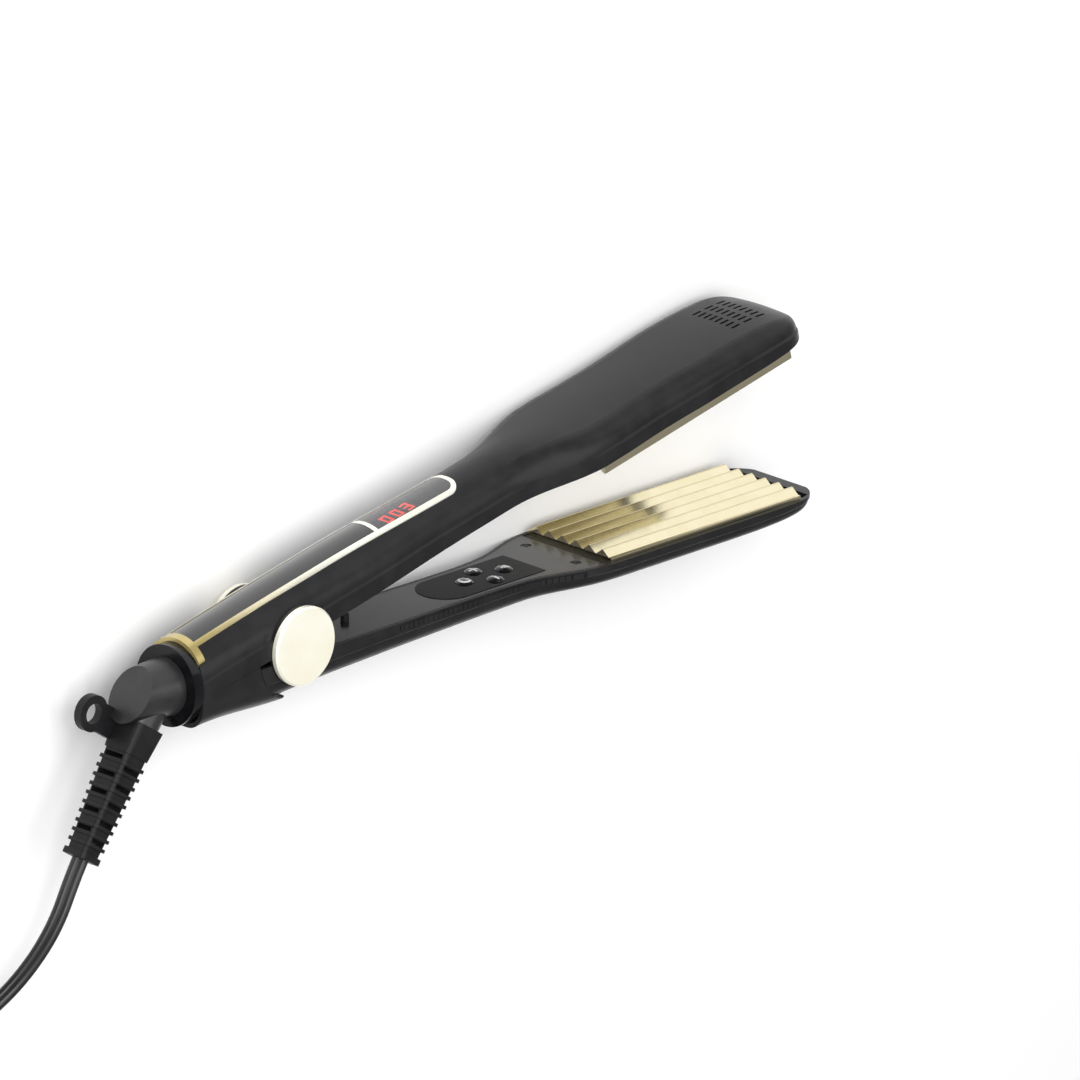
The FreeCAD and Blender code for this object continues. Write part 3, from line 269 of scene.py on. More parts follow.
@dataclass(frozen=True)
class Finish:
    """A moulded, painted or machined surface with a slight mottle and a fine grain.

    Sizes are in millimetres and roughness goes from its lower to its higher value.
    """

    slot: str
    colour: Colour
    mottle: Colour
    roughness: tuple[float, float] = (0.35, 0.45)
    patch: float = 9.0
    grain: float = 0.35
    depth: float = 0.012
    metallic: float = 0.0
    coat: float = 0.0
    coat_roughness: float = 0.08
    alpha: float = 1.0
    glow: float = 0.0
    specular: float = 0.5

    def shade(self, shader: Shader, cloud: Value) -> Value:
        """The colour over the surface."""
        return shader.mix(cloud.within(*CLOUD), self.colour, self.mottle)

    def relief(self, shader: Shader) -> Value:
        """The height pattern of the grain."""
        return shader.noise(self.grain, 1.0)

    def material(self) -> bpy.types.Material:
        """Build the finish.

        Returns:
            The material, named after its slot.
        """
        shader = Shader(self.slot)
        cloud = shader.noise(self.patch, 3.0)
        low, high = self.roughness
        spread = high - low
        colour = self.shade(shader, cloud)
        inputs = {
            "Base_Color": colour,
            "Roughness": cloud * spread * CONTRAST + (low - spread * CLOUD_LOSS),
            "Metallic": self.metallic,
            "Coat_Weight": self.coat,
            "Coat_Roughness": self.coat_roughness,
            "Alpha": self.alpha,
            "Specular_IOR_Level": self.specular,
            "Normal": shader.bump(self.relief(shader), self.depth),
        }
        if self.glow:
            inputs["Emission_Color"] = colour
            inputs["Emission_Strength"] = self.glow
        return shader.finish(**inputs)


@dataclass(frozen=True)
class Brushed(Finish):
    """Metal with fine lines along one direction."""

    stretch: Colour = (0.04, 1.0, 1.0)

    def relief(self, shader: Shader) -> Value:
        """Noise drawn out into lines."""
        return shader.noise(self.grain, 2.0, shader.mapped(self.stretch))


@dataclass(frozen=True)
class TailShadedTrim(Finish):
    """A plated trim, pale at the front, with painted shade that turns it a darker gold towards the
    tail.
    """

    # painted shade: the darker gold that the trim is given towards the tail
    tail_shade_colour: Colour = (0.5, 0.4, 0.15)
    tail: float = -48.0
    front: float = 40.0

    def shade(self, shader: Shader, cloud: Value) -> Value:
        """The pale front colour, with painted shade that turns it golden towards the tail."""
        start, end = HINGE.x + self.tail * MM, HINGE.x + self.front * MM
        pale = super().shade(shader, cloud)
        # painted shade: blend from the shaded gold at the tail to the pale front
        return shader.mix(shader.axis("X").within(start, end), self.tail_shade_colour, pale)


@dataclass(frozen=True)
class Corrugated(Finish):
    """The coated plate: pale, with painted shade that makes it more golden in the furrows."""

    pitch: float = 7.0
    # painted shade: the deeper gold laid along the furrows
    furrow_shade: Colour = (0.42, 0.32, 0.09)

    def shade(self, shader: Shader, cloud: Value) -> Value:
        """The coat's colour with painted shade lines along the furrows."""
        across = (shader.axis("Z") - HINGE.z) / (self.pitch * MM)
        furrow_shade_wave = across.maths("PINGPONG", 0.5) * 2.0
        coat = super().shade(shader, cloud)
        # painted shade: darker gold bands every pitch across the plate, for the furrows
        return shader.mix(furrow_shade_wave.within(0.75, 1.0) * 0.35, coat, self.furrow_shade)


@dataclass(frozen=True)
class Board(Finish):
    """A circuit board: solder mask with copper tracks and pads."""

    cells: float = 260.0
    track: Colour = (0.08, 0.32, 0.16)
    pad: Colour = (0.75, 0.68, 0.5)

    def shade(self, shader: Shader, cloud: Value) -> Value:
        """Solder mask with tracks under it and tinned pads on it."""
        inputs = {"Vector": shader.position(), "Scale": self.cells}
        squares = {"feature": "F1", "distance": "CHEBYCHEV"}
        middles = shader.node("ShaderNodeTexVoronoi", squares, inputs)
        lines = shader.node("ShaderNodeTexVoronoi", {"feature": "DISTANCE_TO_EDGE"}, inputs)
        tracks = 1.0 - lines.within(0.02, 0.09)
        pads = 1.0 - middles.within(0.14, 0.17)
        masked = shader.mix(tracks, super().shade(shader, cloud), self.track)
        return shader.mix(pads, masked, self.pad)


@dataclass(frozen=True)
class Woven(Finish):
    """A hook-and-loop strap with a tight looped face."""

    thread: float = 0.55

    def relief(self, shader: Shader) -> Value:
        """Small round loops."""
        inputs = {"Vector": shader.position(), "Scale": 1.0 / (self.thread * MM)}
        return 1.0 - shader.node("ShaderNodeTexVoronoi", {"feature": "F1"}, inputs)


@dataclass(frozen=True)
class Sleeved(Finish):
    """Metal pins with a moulded sleeve on the stretch next to the plug's face."""

    sleeve: Colour = (0.015, 0.015, 0.016)
    start: tuple[float, float, float] = (0.0, 0.0, 0.0)
    heading: tuple[float, float, float] = (1.0, 0.0, 0.0)
    length: float = 10.0

    def shade(self, shader: Shader, cloud: Value) -> Value:
        """The sleeve's black up to its end, then the bare metal."""
        settings = {"operation": "DOT_PRODUCT"}
        inputs = {0: shader.position(), 1: self.heading}
        reach = shader.node("ShaderNodeVectorMath", settings, inputs, "Value")
        end = Vector(self.start).dot(Vector(self.heading)) + self.length * MM
        share = reach.within(end, end + 0.1 * MM)
        return shader.mix(share, self.sleeve, super().shade(shader, cloud))


class Finishes:
    """Every finish of the tool, built once each."""

    ALL: tuple[Finish, ...] = (
        Finish(
            "satin_black", (0.012, 0.012, 0.013), (0.016, 0.016, 0.017), (0.3, 0.38),
            specular=0.22,
        ),
        Finish(
            "inner_grey", (0.022, 0.022, 0.024), (0.03, 0.03, 0.032), (0.16, 0.22),
            depth=0.004,
        ),
        # the cream trim, with painted shade towards the tail
        TailShadedTrim(
            "cream_trim", (0.95, 0.94, 0.84), (0.92, 0.9, 0.78), (0.16, 0.22),
            depth=0.003, metallic=0.55, coat=0.5,
        ),
        Finish(
            "lens_dark", (0.03, 0.03, 0.032), (0.04, 0.04, 0.042), (0.05, 0.08),
            depth=0.0, coat=1.0, alpha=0.7, specular=1.0,
        ),
        Finish(
            "panel_black", (0.006, 0.006, 0.007), (0.009, 0.009, 0.01), (0.05, 0.08),
            depth=0.001, coat=0.7,
        ),
        Board("board_green", (0.02, 0.12, 0.05), (0.025, 0.14, 0.06), (0.3, 0.4), depth=0.01),
        Finish("display_black", (0.01, 0.01, 0.01), (0.014, 0.013, 0.013), (0.5, 0.6)),
        Finish("digit_red", (1.0, 0.03, 0.02), (1.0, 0.05, 0.03), (0.4, 0.5), glow=9.0),
        # the coated plate, with painted shade in its furrows
        Corrugated(
            "plate_gold", (0.78, 0.71, 0.5), (0.75, 0.68, 0.46), (0.1, 0.14),
            grain=0.6, depth=0.001, metallic=1.0,
        ),
        Finish(
            "holder_black", (0.012, 0.012, 0.012), (0.018, 0.018, 0.018), (0.5, 0.6),
            depth=0.02,
        ),
        Finish("heater_white", (0.86, 0.85, 0.82), (0.8, 0.79, 0.76), (0.5, 0.65), depth=0.01),
        Finish(
            "mica", (0.5, 0.38, 0.2), (0.68, 0.58, 0.38), (0.25, 0.4),
            patch=4.0, depth=0.01, coat=0.3,
        ),
        Brushed(
            "clamp_steel", (0.55, 0.55, 0.56), (0.62, 0.62, 0.63), (0.25, 0.35),
            grain=0.3, depth=0.01, metallic=1.0,
        ),
        Finish(
            "sensor_glass", (0.7, 0.25, 0.08), (0.78, 0.32, 0.12), (0.1, 0.2),
            depth=0.003, coat=0.6,
        ),
        Finish(
            "screw_steel", (0.12, 0.12, 0.125), (0.18, 0.18, 0.185), (0.3, 0.4),
            grain=0.2, depth=0.01, metallic=1.0,
        ),
        Finish(
            "collar_black", (0.004, 0.004, 0.005), (0.007, 0.007, 0.008), (0.12, 0.18),
            depth=0.003, specular=0.25,
        ),
        Brushed(
            "pin_steel", (0.62, 0.62, 0.64), (0.7, 0.7, 0.72), (0.15, 0.25),
            grain=0.2, depth=0.004, metallic=1.0,
        ),
        Finish(
            "cap_cream", (0.88, 0.85, 0.7), (0.92, 0.9, 0.78), (0.22, 0.28),
            patch=22.0, depth=0.003, metallic=0.2, coat=0.5,
        ),
        Finish(
            "spring_steel", (0.4, 0.4, 0.42), (0.5, 0.5, 0.52), (0.25, 0.35),
            grain=0.3, depth=0.006, metallic=1.0,
        ),
        Finish(
            "fascia_black", (0.003, 0.003, 0.004), (0.005, 0.005, 0.006), (0.06, 0.1),
            depth=0.001, specular=0.05,
        ),
        Finish(
            "grip_rubber", (0.008, 0.008, 0.009), (0.012, 0.012, 0.013), (0.55, 0.65),
            grain=0.25, depth=0.02, specular=0.25,
        ),
        Finish("bush_nylon", (0.8, 0.78, 0.72), (0.84, 0.82, 0.77), (0.4, 0.5), depth=0.01),
        Finish(
            "button_black", (0.008, 0.008, 0.009), (0.012, 0.012, 0.013), (0.14, 0.2),
            depth=0.002, coat=0.6,
        ),
        Finish(
            "icon_white", (0.95, 0.95, 0.95), (0.9, 0.9, 0.9), (0.45, 0.55),
            patch=1.5, grain=0.1, depth=0.003,
        ),
        Finish(
            "elbow_black", (0.014, 0.014, 0.015), (0.02, 0.02, 0.021), (0.32, 0.4),
            depth=0.015,
        ),
        Brushed(
            "contact_brass", (0.72, 0.52, 0.2), (0.78, 0.6, 0.28), (0.2, 0.3),
            grain=0.3, depth=0.006, metallic=1.0,
        ),
        Finish(
            "relief_rubber", (0.006, 0.006, 0.007), (0.01, 0.01, 0.011), (0.45, 0.55),
            grain=0.3, depth=0.02, specular=0.25,
        ),
        Finish(
            "cord_rubber", (0.01, 0.01, 0.011), (0.015, 0.015, 0.016), (0.3, 0.4),
            grain=0.4, depth=0.012,
        ),
        Woven("tie_black", (0.015, 0.015, 0.016), (0.03, 0.03, 0.031), (0.7, 0.85), depth=0.15),
        Finish(
            "plug_black", (0.012, 0.012, 0.013), (0.018, 0.018, 0.019), (0.35, 0.45),
            depth=0.015,
        ),
    )

    def __init__(self) -> None:
        """Start with no material built."""
        self.built: dict[str, bpy.types.Material] = {}

    def add(self, finish: Finish) -> None:
        """Build one more finish."""
        self.built[finish.slot] = finish.material()

    def of(self, slot: str) -> bpy.types.Material:
        """The material of a slot, built when it is first asked for."""
        if slot not in self.built:
            self.add(next(finish for finish in self.ALL if finish.slot == slot))
        return self.built[slot]

    def dress(self, slots: dict[str, str]) -> None:
        """Give every CAD node the finish of its slot.

        Args:
            slots: The slot of each node.
        """
        for name, node in frame["nodes"].items():
            node.data.materials.clear()
            node.data.materials.append(self.of(slots[name]))
            log.info("%s is finished in %s", name, slots[name])


# ------------------------------------------------------------------ pieces


class Shape:
    """A bmesh in the making, with the few operations that the pieces share."""

    def __init__(self) -> None:
        """Start empty."""
        self.mesh = bmesh.new()

    def bar(self, size: Vector, at: Vector, turn: Optional[Matrix] = None) -> list:
        """Add a block.

        Args:
            size: Its length along each axis, in millimetres.
            at: Its middle, in millimetres.
            turn: Its rotation.

        Returns:
            Its vertices.
        """
        turned = (turn or Matrix()).to_4x4()
        matrix = Matrix.Translation(at) @ turned @ Matrix.Diagonal((*size, 1.0))
        return bmesh.ops.create_cube(self.mesh, size=1.0, matrix=matrix)["verts"]

    def spun(self, profile: Profile, steps: int, angle: float = math.tau) -> None:
        """Spin a profile of (radius, height) points about the local Z.

        Args:
            profile: The points, in millimetres.
            steps: The steps of the spin.
            angle: The angle of the spin.
        """
        full = abs(angle) >= math.tau - 1e-6
        verts = [self.mesh.verts.new((radius, 0.0, height)) for radius, height in profile]
        edges = [self.mesh.edges.new(pair) for pair in zip(verts, verts[1:])]
        bmesh.ops.spin(
            self.mesh,
            geom=verts + edges,
            cent=(0, 0, 0),
            axis=(0, 0, 1),
            dvec=(0, 0, 0),
            angle=angle,
            steps=steps,
            use_merge=full,
            use_duplicate=False,
        )

    def soften(self, offset: float, segments: int, over: float) -> None:
        """Round every edge that turns by more than an angle.

        Args:
            offset: The width of the rounding, in millimetres.
            segments: Its steps.
            over: The least turn, in degrees.
        """
        least = math.radians(over)
        sharp = [edge for edge in self.mesh.edges if edge.calc_face_angle(0.0) > least]
        bmesh.ops.bevel(
            self.mesh,
            geom=sharp,
            offset=offset,
            offset_type="OFFSET",
            segments=segments,
            profile=0.5,
            affect="EDGES",
            clamp_overlap=True,
            material=-1,
        )

    def piece(self, name: str, matrix: Matrix, material: bpy.types.Material) -> bpy.types.Object:
        """Close the shape into an object at the origin.

        Args:
            name: The piece's name.
            matrix: Where the shape goes, from millimetres to the row frame.
            material: Its finish.

        Returns:
            The object.
        """
        bmesh.ops.remove_doubles(self.mesh, verts=self.mesh.verts, dist=0.001)
        bmesh.ops.recalc_face_normals(self.mesh, faces=self.mesh.faces)
        self.mesh.transform(matrix)
        data = bpy.data.meshes.new(name)
        self.mesh.to_mesh(data)
        self.mesh.free()
        data.materials.append(material)
        for polygon in data.polygons:
            polygon.use_smooth = True
        data.set_sharp_from_angle(angle=math.radians(35))
        made = bpy.data.objects.new(name, data)
        bpy.context.scene.collection.objects.link(made)
        log.info("%s has %d faces", name, len(data.polygons))
        return made


def standing(at: Vector, along: Vector, out: Vector) -> Matrix:
    """A matrix from millimetres on a surface to the row frame.

    Args:
        at: The origin, in the row frame.
        along: The direction of the local X.
        out: The direction of the local Z.

    Returns:
        The matrix, with its scale.
    """
    side = out.cross(along)
    turn = Matrix((along, side, out)).transposed().to_4x4()
    return Matrix.Translation(at) @ turn @ Matrix.Scale(MM, 4)


class Icon(Enum):
    """The marks on the four buttons."""

    POWER = "power_button"
    MINUS = "minus_button"
    PLUS = "plus_button"
    MODE = "mode_button"


@dataclass
class ButtonMarks:
    """The printed marks on the domed buttons, which ride with them.

    Sizes are in millimetres.
    """

    radius: float = 3.5
    stroke: float = 0.9
    reach: float = 2.1
    film: float = 0.05
    lift: float = 0.04
    mode_bars: tuple = ((-1.15, 1.2), (0.0, 2.2), (1.15, 3.2))
    dome_knots: tuple = ((0.0, 0.0), (0.45, 0.12), (0.8, 0.45), (1.0, 1.0))
    ring_gap: float = 80.0
    keys: dict[Icon, str] = field(
        default_factory=lambda: {
            Icon.POWER: "power_key",
            Icon.MINUS: "minus_key",
            Icon.PLUS: "plus_key",
            Icon.MODE: "mode_key",
        }
    )

    def strokes(self, icon: Icon) -> list[tuple[Vector, Vector, float]]:
        """The straight strokes of a mark, as (middle, length and width, turn)."""
        long, wide = 2 * self.reach, self.stroke
        if icon is Icon.MINUS:
            return [(Vector((0, 0, 0)), Vector((wide, long)), 0.0)]
        if icon is Icon.PLUS:
            return [(Vector((0, 0, 0)), Vector((wide, long)), turn) for turn in (0.0, math.pi / 2)]
        if icon is Icon.POWER:
            return [(Vector((self.reach * 0.62, 0, 0)), Vector((self.reach * 0.9, wide)), 0.0)]
        return [(Vector((at, 0, 0)), Vector((wide, length)), 0.0) for at, length in self.mode_bars]

    def mark(self, icon: Icon) -> Shape:
        """Draw a mark as a thin film, flat at first."""
        shape = Shape()
        for middle, extent, turn in self.strokes(icon):
            rotation = Matrix.Rotation(turn, 3, "Z")
            shape.bar(Vector((extent.x, extent.y, self.film)), middle, rotation)
        if icon is Icon.POWER:
            self.ring(shape)
        return shape

    def ring(self, shape: Shape) -> None:
        """Add the power mark's open ring."""
        inner, outer = self.reach - self.stroke / 2, self.reach + self.stroke / 2
        low, high = -self.film / 2, self.film / 2
        corners = [(inner, low), (outer, low), (outer, high), (inner, high), (inner, low)]
        before = set(shape.mesh.verts)
        shape.spun(corners, 28, math.radians(360 - self.ring_gap))
        turned = [vert for vert in shape.mesh.verts if vert not in before]
        turn = Matrix.Rotation(math.radians(self.ring_gap / 2), 3, "Z")
        bmesh.ops.rotate(shape.mesh, verts=turned, cent=(0, 0, 0), matrix=turn)
        ends = [edge for edge in shape.mesh.edges if edge.is_boundary]
        bmesh.ops.holes_fill(shape.mesh, edges=ends)

    def dome(self, distance: float) -> float:
        """The dome's height below its top, at a distance from its middle."""
        share = distance / self.radius
        for (start, low), (end, high) in zip(self.dome_knots, self.dome_knots[1:]):
            if share <= end:
                return low + (high - low) * (share - start) / (end - start)
        return self.dome_knots[-1][1]

    def build(self, finishes: Finishes) -> None:
        """Make the four marks and let each ride on its button."""
        for icon, body in self.keys.items():
            shape = self.mark(icon)
            bmesh.ops.triangulate(shape.mesh, faces=shape.mesh.faces)
            edges = shape.mesh.edges
            bmesh.ops.subdivide_edges(shape.mesh, edges=edges, cuts=2, use_grid_fill=True)
            for vert in shape.mesh.verts:
                sunk = self.dome(math.hypot(vert.co.x, vert.co.y))
                vert.co.z += self.film / 2 + self.lift - sunk
            matrix = standing(self.top(icon), ALONG_LOWER, OUT_OF_LOWER)
            name = f"{icon.name.lower()}_mark"
            made = shape.piece(name, matrix, finishes.of("icon_white"))
            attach(made, body)

    @staticmethod
    def top(icon: Icon) -> Vector:
        """The highest point of a button's dome, read from the button itself."""
        places = [vert.co for vert in frame["nodes"][icon.value].data.vertices]
        along = [spot.dot(ALONG_LOWER) for spot in places]
        up = [spot.z for spot in places]
        out = max(spot.dot(OUT_OF_LOWER) for spot in places)
        return (
            ALONG_LOWER * (min(along) + max(along)) / 2
            + OUT_OF_LOWER * out
            + UP * (min(up) + max(up)) / 2
        )


@dataclass
class Cord:
    """The flat twin lead: its route, its put-away coil, the strap and the plug.

    Points and sizes are in millimetres beside the hinge.
    """

    width: float = 6.3
    thickness: float = 3.6
    length: float = 1.8
    floor: float = -HINGE.z / MM
    coil_centre: tuple[float, float] = (-200.0, -50.0)
    coil_radius: float = 34.5
    turns: float = 8.0
    points_per_turn: int = 14
    beside: float = 6.4
    above: float = 3.9
    bed: float = 2.6
    crossing: tuple[float, float] = (0.45, 0.5)
    lifting: tuple[float, float] = (0.42, 0.25)
    lobe_steps: int = 8
    waist: float = 38.0
    tie_width: float = 7.0
    tie_wall: float = 0.75
    tie_room: float = 0.9
    tie_corner: float = 3.6
    tie_lap: float = 9.0
    plug_length: float = 34.0
    plug_half: float = 16.5
    plug_tall: float = 14.0
    roll: tuple = (45.0, 45.0, 40.0, 20.0, 5.0)
    lead: tuple = (
        (-104.1, -35.3, 0.0),
        (-112.5, -43.6, -0.2),
        (-127.0, -62.5, -1.0),
        (-143.0, -80.5, -9.5),
        (-163.0, -91.5, -18.5),
        (-182.0, -93.5, -21.2),
    )
    tail: tuple = (
        (-220.0, -86.5, -12.6),
        (-238.0, -90.0, -15.4),
        (-254.0, -92.5, -16.6),
    )

    def slots(self) -> list[tuple[float, float]]:
        """Where each turn lies in the bundle, as (outwards, height over the floor)."""
        low, middle, high = (self.bed + self.above * layer for layer in range(3))
        aside = self.beside
        return [
            (aside, low),
            (0.0, low),
            (-aside, low),
            (-aside, middle),
            (0.0, middle),
            (aside, middle),
            (-aside / 2, high),
            (aside / 2, high),
        ]

    @staticmethod
    def part_way(share: float, start: float, span: float) -> float:
        """How much of a stretch that starts and lasts so long is done, from 0 to 1."""
        return min(max((share - start) / span, 0.0), 1.0)

    def coil(self) -> list[tuple[float, float, float]]:
        """The coil's points, one turn after another."""
        points = []
        slots = self.slots()
        for step in range(round(self.turns * self.points_per_turn) + 1):
            turn, share = divmod(step / self.points_per_turn, 1.0)
            here = slots[min(int(turn), len(slots) - 1)]
            after = slots[min(int(turn) + 1, len(slots) - 1)]
            across = self.part_way(share, *self.crossing)
            lift = self.part_way(share, *self.lifting)
            radius = self.coil_radius + here[0] + (after[0] - here[0]) * across
            height = here[1] + (after[1] - here[1]) * lift
            angle = -math.tau * (0.25 + step / self.points_per_turn)
            x = self.coil_centre[0] + radius * math.cos(angle)
            y = self.coil_centre[1] + radius * math.sin(angle)
            points.append((x, y, self.floor + height))
        return points

    def spline(self) -> bpy.types.Object:
        """The lead's own smooth line, as a curve object."""
        data = bpy.data.curves.new("power_lead_line", "CURVE")
        data.dimensions = "3D"
        data.twist_mode = "Z_UP"
        data.resolution_u = 10
        line = data.splines.new("NURBS")
        points = [*self.lead, *self.coil(), *self.tail]
        line.points.add(len(points) - 1)
        for index, (spot, point) in enumerate(zip(line.points, points)):
            spot.co = (*place(*point), 1.0)
            spot.tilt = math.radians(self.roll[index]) if index < len(self.roll) else 0.0
        line.order_u = 3
        line.use_endpoint_u = True
        made = bpy.data.objects.new("power_lead_line", data)
        bpy.context.scene.collection.objects.link(made)
        bpy.context.view_layer.update()
        return made

    def profile(self) -> bpy.types.Object:
        """The twin lead's cross-section: two round cores side by side."""
        data = bpy.data.curves.new("lead_section", "CURVE")
        outline = data.splines.new("POLY")
        core = self.thickness / 2
        apart = self.width / 2 - core
        waist = math.radians(self.waist)
        corners = []
        for side in (1, -1):
            for step in range(self.lobe_steps + 1):
                angle = -math.pi + waist + (math.tau - 2 * waist) * step / self.lobe_steps
                x, y = apart + core * math.cos(angle), core * math.sin(angle)
                corners.append((side * x, side * y))
        outline.points.add(len(corners) - 1)
        for spot, (x, y) in zip(outline.points, corners):
            spot.co = (x * MM, y * MM, 0.0, 1.0)
        outline.use_cyclic_u = True
        made = bpy.data.objects.new("lead_section", data)
        bpy.context.scene.collection.objects.link(made)
        return made

    @staticmethod
    def read(line: bpy.types.Object) -> bpy.types.Mesh:
        """The mesh of a curve as it is now."""
        graph = bpy.context.evaluated_depsgraph_get()
        return bpy.data.meshes.new_from_object(line.evaluated_get(graph))

    def build(self, finishes: Finishes, body: str) -> None:
        """Args:
            finishes: Where the materials come from.
            body: The body that the lead rides on.
        """
        line = self.spline()
        path = [tuple(vert.co) for vert in self.read(line).vertices]
        section = self.profile()
        line.data.bevel_mode = "OBJECT"
        line.data.bevel_object = section
        line.data.use_fill_caps = True
        bpy.context.view_layer.update()
        data = self.read(line)
        data.name = "power_lead"
        data.materials.clear()
        data.materials.append(finishes.of("cord_rubber"))
        for polygon in data.polygons:
            polygon.use_smooth = True
        data.set_sharp_from_angle(angle=math.radians(60))
        lead = bpy.data.objects.new("power_lead", data)
        bpy.context.scene.collection.objects.link(lead)
        bpy.data.objects.remove(line)
        bpy.data.objects.remove(section)
        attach(lead, body)
        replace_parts(lead, "power_cord", "cord_coil", "cord_tail")
        strap = self.strap(finishes, body)
        plug = self.plug(finishes, body)

    def strap(self, finishes: Finishes, body: str) -> bpy.types.Object:
        """The hook-and-loop strap around the turns, with its lapped end."""
        shape = Shape()
        half = self.beside + self.width / 2 + self.tie_room
        low = 0.1
        high = self.bed + 2 * self.above + self.thickness / 2 + self.tie_room
        middle = (low + high) / 2
        wall = self.tie_wall
        shape.bar(Vector((2 * half, self.tie_width, high - low)), Vector((0, 0, middle)))
        ends = [face for face in shape.mesh.faces if abs(face.normal.y) > 0.9]
        bmesh.ops.delete(shape.mesh, geom=ends, context="FACES_ONLY")
        edges = shape.mesh.edges
        corners = [edge for edge in edges if abs((edge.verts[0].co - edge.verts[1].co).y) > 1]
        bmesh.ops.bevel(
            shape.mesh,
            geom=corners,
            offset=self.tie_corner,
            offset_type="OFFSET",
            segments=6,
            profile=0.5,
            affect="EDGES",
            material=-1,
        )
        bmesh.ops.recalc_face_normals(shape.mesh, faces=shape.mesh.faces)
        bmesh.ops.solidify(shape.mesh, geom=list(shape.mesh.faces), thickness=wall)
        size = Vector((self.tie_lap, self.tie_width * 0.86, wall))
        lap = shape.bar(size, Vector((1.5, 0, high + wall / 2)))
        turn = Matrix.Rotation(math.radians(3), 3, "Y")
        bmesh.ops.rotate(shape.mesh, verts=lap, cent=(6, 0, high), matrix=turn)
        shape.soften(0.15, 2, 50.0)
        at = place(self.coil_centre[0] - self.coil_radius, self.coil_centre[1], self.floor)
        matrix = standing(at, Vector((1, 0, 0)), UP)
        made = shape.piece("cord_strap", matrix, finishes.of("tie_black"))
        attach(made, body)
        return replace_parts(made, "cord_tie")

    def heading(self) -> Vector:
        """The level direction in which the plug points."""
        way = Vector(self.tail[-1]) - Vector(self.tail[-2])
        way.z = 0.0
        return way.normalized()

    def plug(self, finishes: Finishes, body: str) -> bpy.types.Object:
        """The moulded flat plug with finger grips and a ringed tail."""
        shape = Shape()
        length, half, tall = self.plug_length, self.plug_half, self.plug_tall
        left = [(-4.5, 0.0), (-5.6, 9.0), (-half, 20.0), (-half, length)]
        plan = left + [(-x, y) for x, y in reversed(left)]
        verts = [shape.mesh.verts.new((y, -x, -tall / 2)) for x, y in plan]
        face = shape.mesh.faces.new(verts)
        top = bmesh.ops.extrude_face_region(shape.mesh, geom=[face])["geom"]
        raised = [item for item in top if isinstance(item, bmesh.types.BMVert)]
        bmesh.ops.translate(shape.mesh, vec=(0, 0, tall), verts=raised)
        for side in (1, -1):
            lid = max(shape.mesh.faces, key=lambda item: item.calc_center_median().z * side)
            bmesh.ops.inset_individual(shape.mesh, faces=[lid], thickness=2.6, depth=-0.7)
        shape.soften(1.6, 4, 25.0)
        for index in range(4):
            for side in (1, -1):
                at = Vector((23.0 + index * 2.4, side * (half - 0.25), 0))
                shape.bar(Vector((1.1, 0.9, tall * 0.62)), at)
        self.ringed_tail(shape)
        matrix = standing(place(*self.tail[-1]), self.heading(), UP)
        made = shape.piece("plug_shell", matrix, finishes.of("plug_black"))
        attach(made, body)
        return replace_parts(made, "plug_body")

    @staticmethod
    def ringed_tail(shape: Shape) -> None:
        """Add the plug's bend relief, whose rings grow towards the plug."""
        rings = Shape()
        profile = [(2.2, 0.0)]
        for index in range(6):
            start, radius = index * 3.0, 4.2 + index * 0.25
            groove = radius - 0.9
            profile += [(groove, start), (radius, start + 0.35)]
            profile += [(radius, start + 1.7), (groove, start + 2.05)]
        profile += [(5.4, 18.5), (5.4, 22.0), (2.2, 22.0), (2.2, 0.0)]
        rings.spun(profile, 28)
        turn = Matrix.Rotation(math.pi / 2, 4, "Y")
        rings.mesh.transform(Matrix.Translation((-19.0, 0, 0)) @ turn)
        joined = bpy.data.meshes.new("ringed_tail")
        rings.mesh.to_mesh(joined)
        rings.mesh.free()
        shape.mesh.from_mesh(joined)
        bpy.data.meshes.remove(joined)


# ------------------------------------------------------------------ studio


@dataclass(frozen=True)
class Lamp:
    """A square light: its direction seen from the tool, sizes in metres, power in watts."""

    name: str
    direction: Colour
    distance: float
    size: float
    power: float


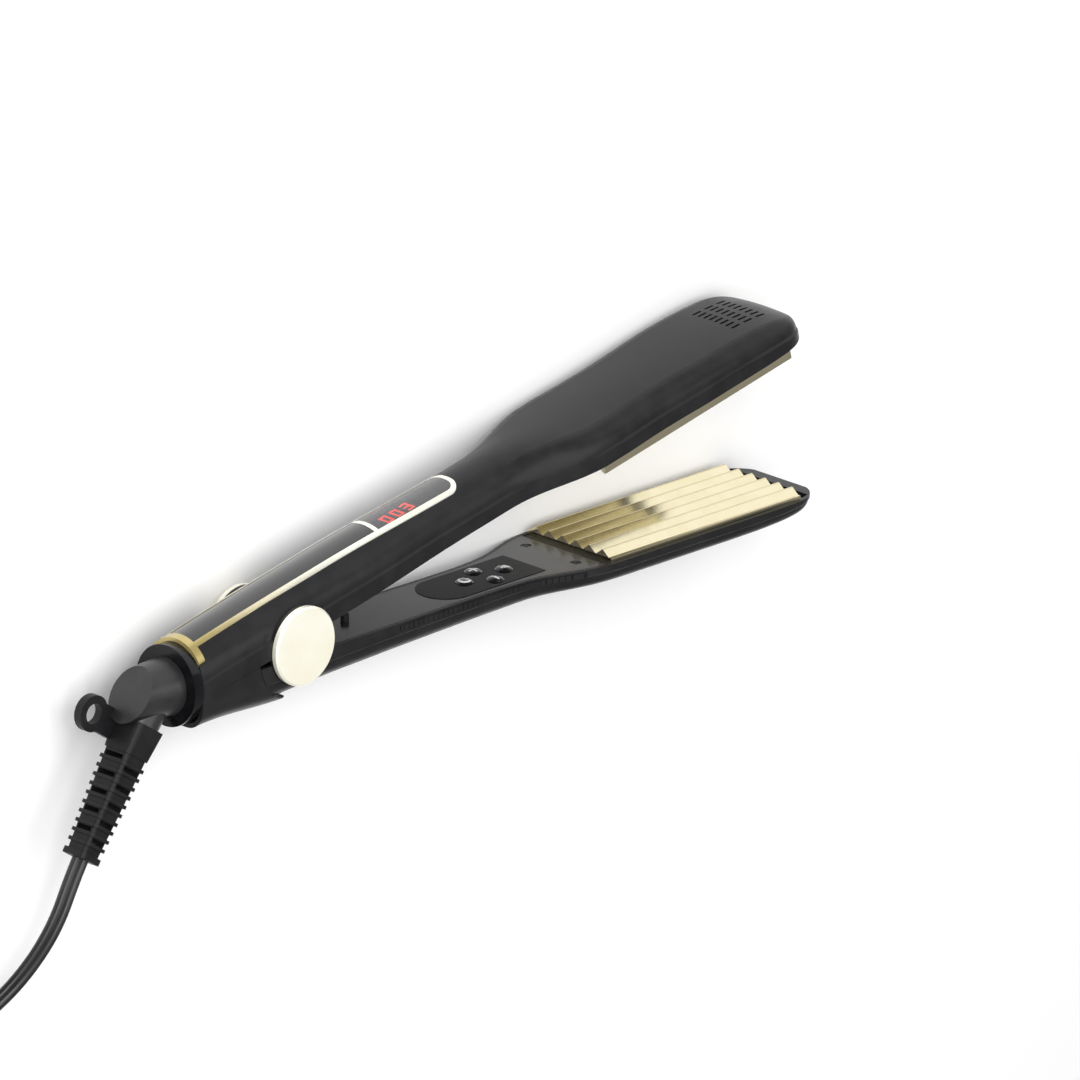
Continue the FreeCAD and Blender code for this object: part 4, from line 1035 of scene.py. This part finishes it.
@dataclass
class Studio:
    """The camera, the floor and the lights.

    Directions are in the row frame, distances in metres.
    """

    right: Colour = (0.69165, -0.14702, 0.70711)
    top: Colour = (0.43193, 0.86888, -0.24184)
    back: Colour = (-0.57883, 0.47270, 0.66446)
    aim_right: float = 0.0988
    aim_up: float = 0.0347
    distance: float = 12.0
    lens: float = 1088.0
    middle: Colour = (0.08, 0.0, 0.0)
    daylight: float = 0.3
    lamps: tuple[Lamp, ...] = (
        Lamp("tip_light", (0.79, 0.49, 0.36), 1.7, 1.3, 5.0),
        Lamp("back_light", (-0.35, 1.0, 0.9), 1.5, 1.0, 9.0),
        Lamp("front_light", (-0.58, 0.3, 0.66), 2.2, 1.2, 22.0),
        Lamp("overhead_light", (0.1, 0.1, 1.0), 1.8, 1.6, 16.0),
        Lamp("low_light", (-1.0, -0.3, 0.8), 1.6, 1.0, 2.0),
    )

    def camera(self) -> None:
        """Stand the camera and make it the scene's own."""
        right, top, back = Vector(self.right), Vector(self.top), Vector(self.back)
        aim = HINGE + right * self.aim_right + top * self.aim_up
        data = bpy.data.cameras.new("studio_camera")
        data.lens = self.lens
        data.sensor_width = 36.0
        data.clip_start = 1.0
        made = bpy.data.objects.new("studio_camera", data)
        turn = Matrix((right, top, back)).transposed().to_4x4()
        made.matrix_world = Matrix.Translation(aim + back * self.distance) @ turn
        bpy.context.scene.collection.objects.link(made)
        bpy.context.scene.camera = made
        log.info("the camera stands %.2f m from the hinge", (made.location - HINGE).length)

    def floor(self) -> None:
        """Lay the pale floor."""
        shader = Shader("studio_floor")
        cloud = shader.noise(400.0, 2.0).within(0.3, 0.7)
        material = shader.finish(
            Base_Color=shader.mix(cloud, (0.93, 0.93, 0.93), (0.95, 0.95, 0.95)),
            Roughness=0.9,
            Specular_IOR_Level=0.1,
        )
        shape = Shape()
        bmesh.ops.create_grid(shape.mesh, x_segments=1, y_segments=1, size=4000.0)
        made = shape.piece("studio_floor", Matrix.Scale(MM, 4), material)

    def hang(self, lamp: Lamp) -> None:
        """Hang a soft square light that faces the tool."""
        data = bpy.data.lights.new(lamp.name, "AREA")
        data.size = lamp.size
        data.energy = lamp.power
        made = bpy.data.objects.new(lamp.name, data)
        made.visible_camera = False
        way = Vector(lamp.direction).normalized()
        made.location = HINGE + Vector(self.middle) + way * lamp.distance
        made.rotation_euler = way.to_track_quat("Z", "Y").to_euler()
        bpy.context.scene.collection.objects.link(made)

    def build(self) -> None:
        """Set up the studio."""
        self.camera()
        self.floor()
        for lamp in self.lamps:
            self.hang(lamp)
        world = bpy.data.worlds.new("studio_world")
        bpy.context.scene.world = world
        world.use_nodes = True
        background = world.node_tree.nodes["Background"]
        background.inputs["Color"].default_value = (1.0, 1.0, 1.0, 1.0)
        background.inputs["Strength"].default_value = self.daylight
        bpy.context.scene.view_settings.view_transform = "Standard"


# ------------------------------------------------------------------ the tool


class Crimper:
    """The whole tool: dressed CAD nodes and the pieces added to them."""

    def __init__(self) -> None:
        """Read each node's slot from the record."""
        self.finishes = Finishes()
        self.slots = {part["node"]: part["material_slot"] for part in frame["record"]["subparts"]}

    def pins(self, cord: Cord) -> Sleeved:
        """The finish of the plug's pins, whose sleeves start at the plug's face."""
        heading = cord.heading()
        start = place(*cord.tail[-1]) + heading * cord.plug_length * MM
        pale, deep = (0.62, 0.61, 0.58), (0.7, 0.69, 0.66)
        span = {"start": tuple(start), "heading": tuple(heading)}
        return Sleeved("plug_nickel", pale, deep, (0.15, 0.25), depth=0.003, metallic=1.0, **span)

    def build(self) -> None:
        """Make every sub-assembly in order."""
        cord = Cord()
        self.finishes.add(self.pins(cord))
        lead_body = frame["nodes"]["power_cord"]["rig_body"]
        cord.build(self.finishes, lead_body)
        self.finishes.dress(self.slots)
        ButtonMarks().build(self.finishes)


def main() -> None:
    """Build the studio and the tool."""
    Studio().build()
    Crimper().build()


if __name__ == "__main__":
    main()
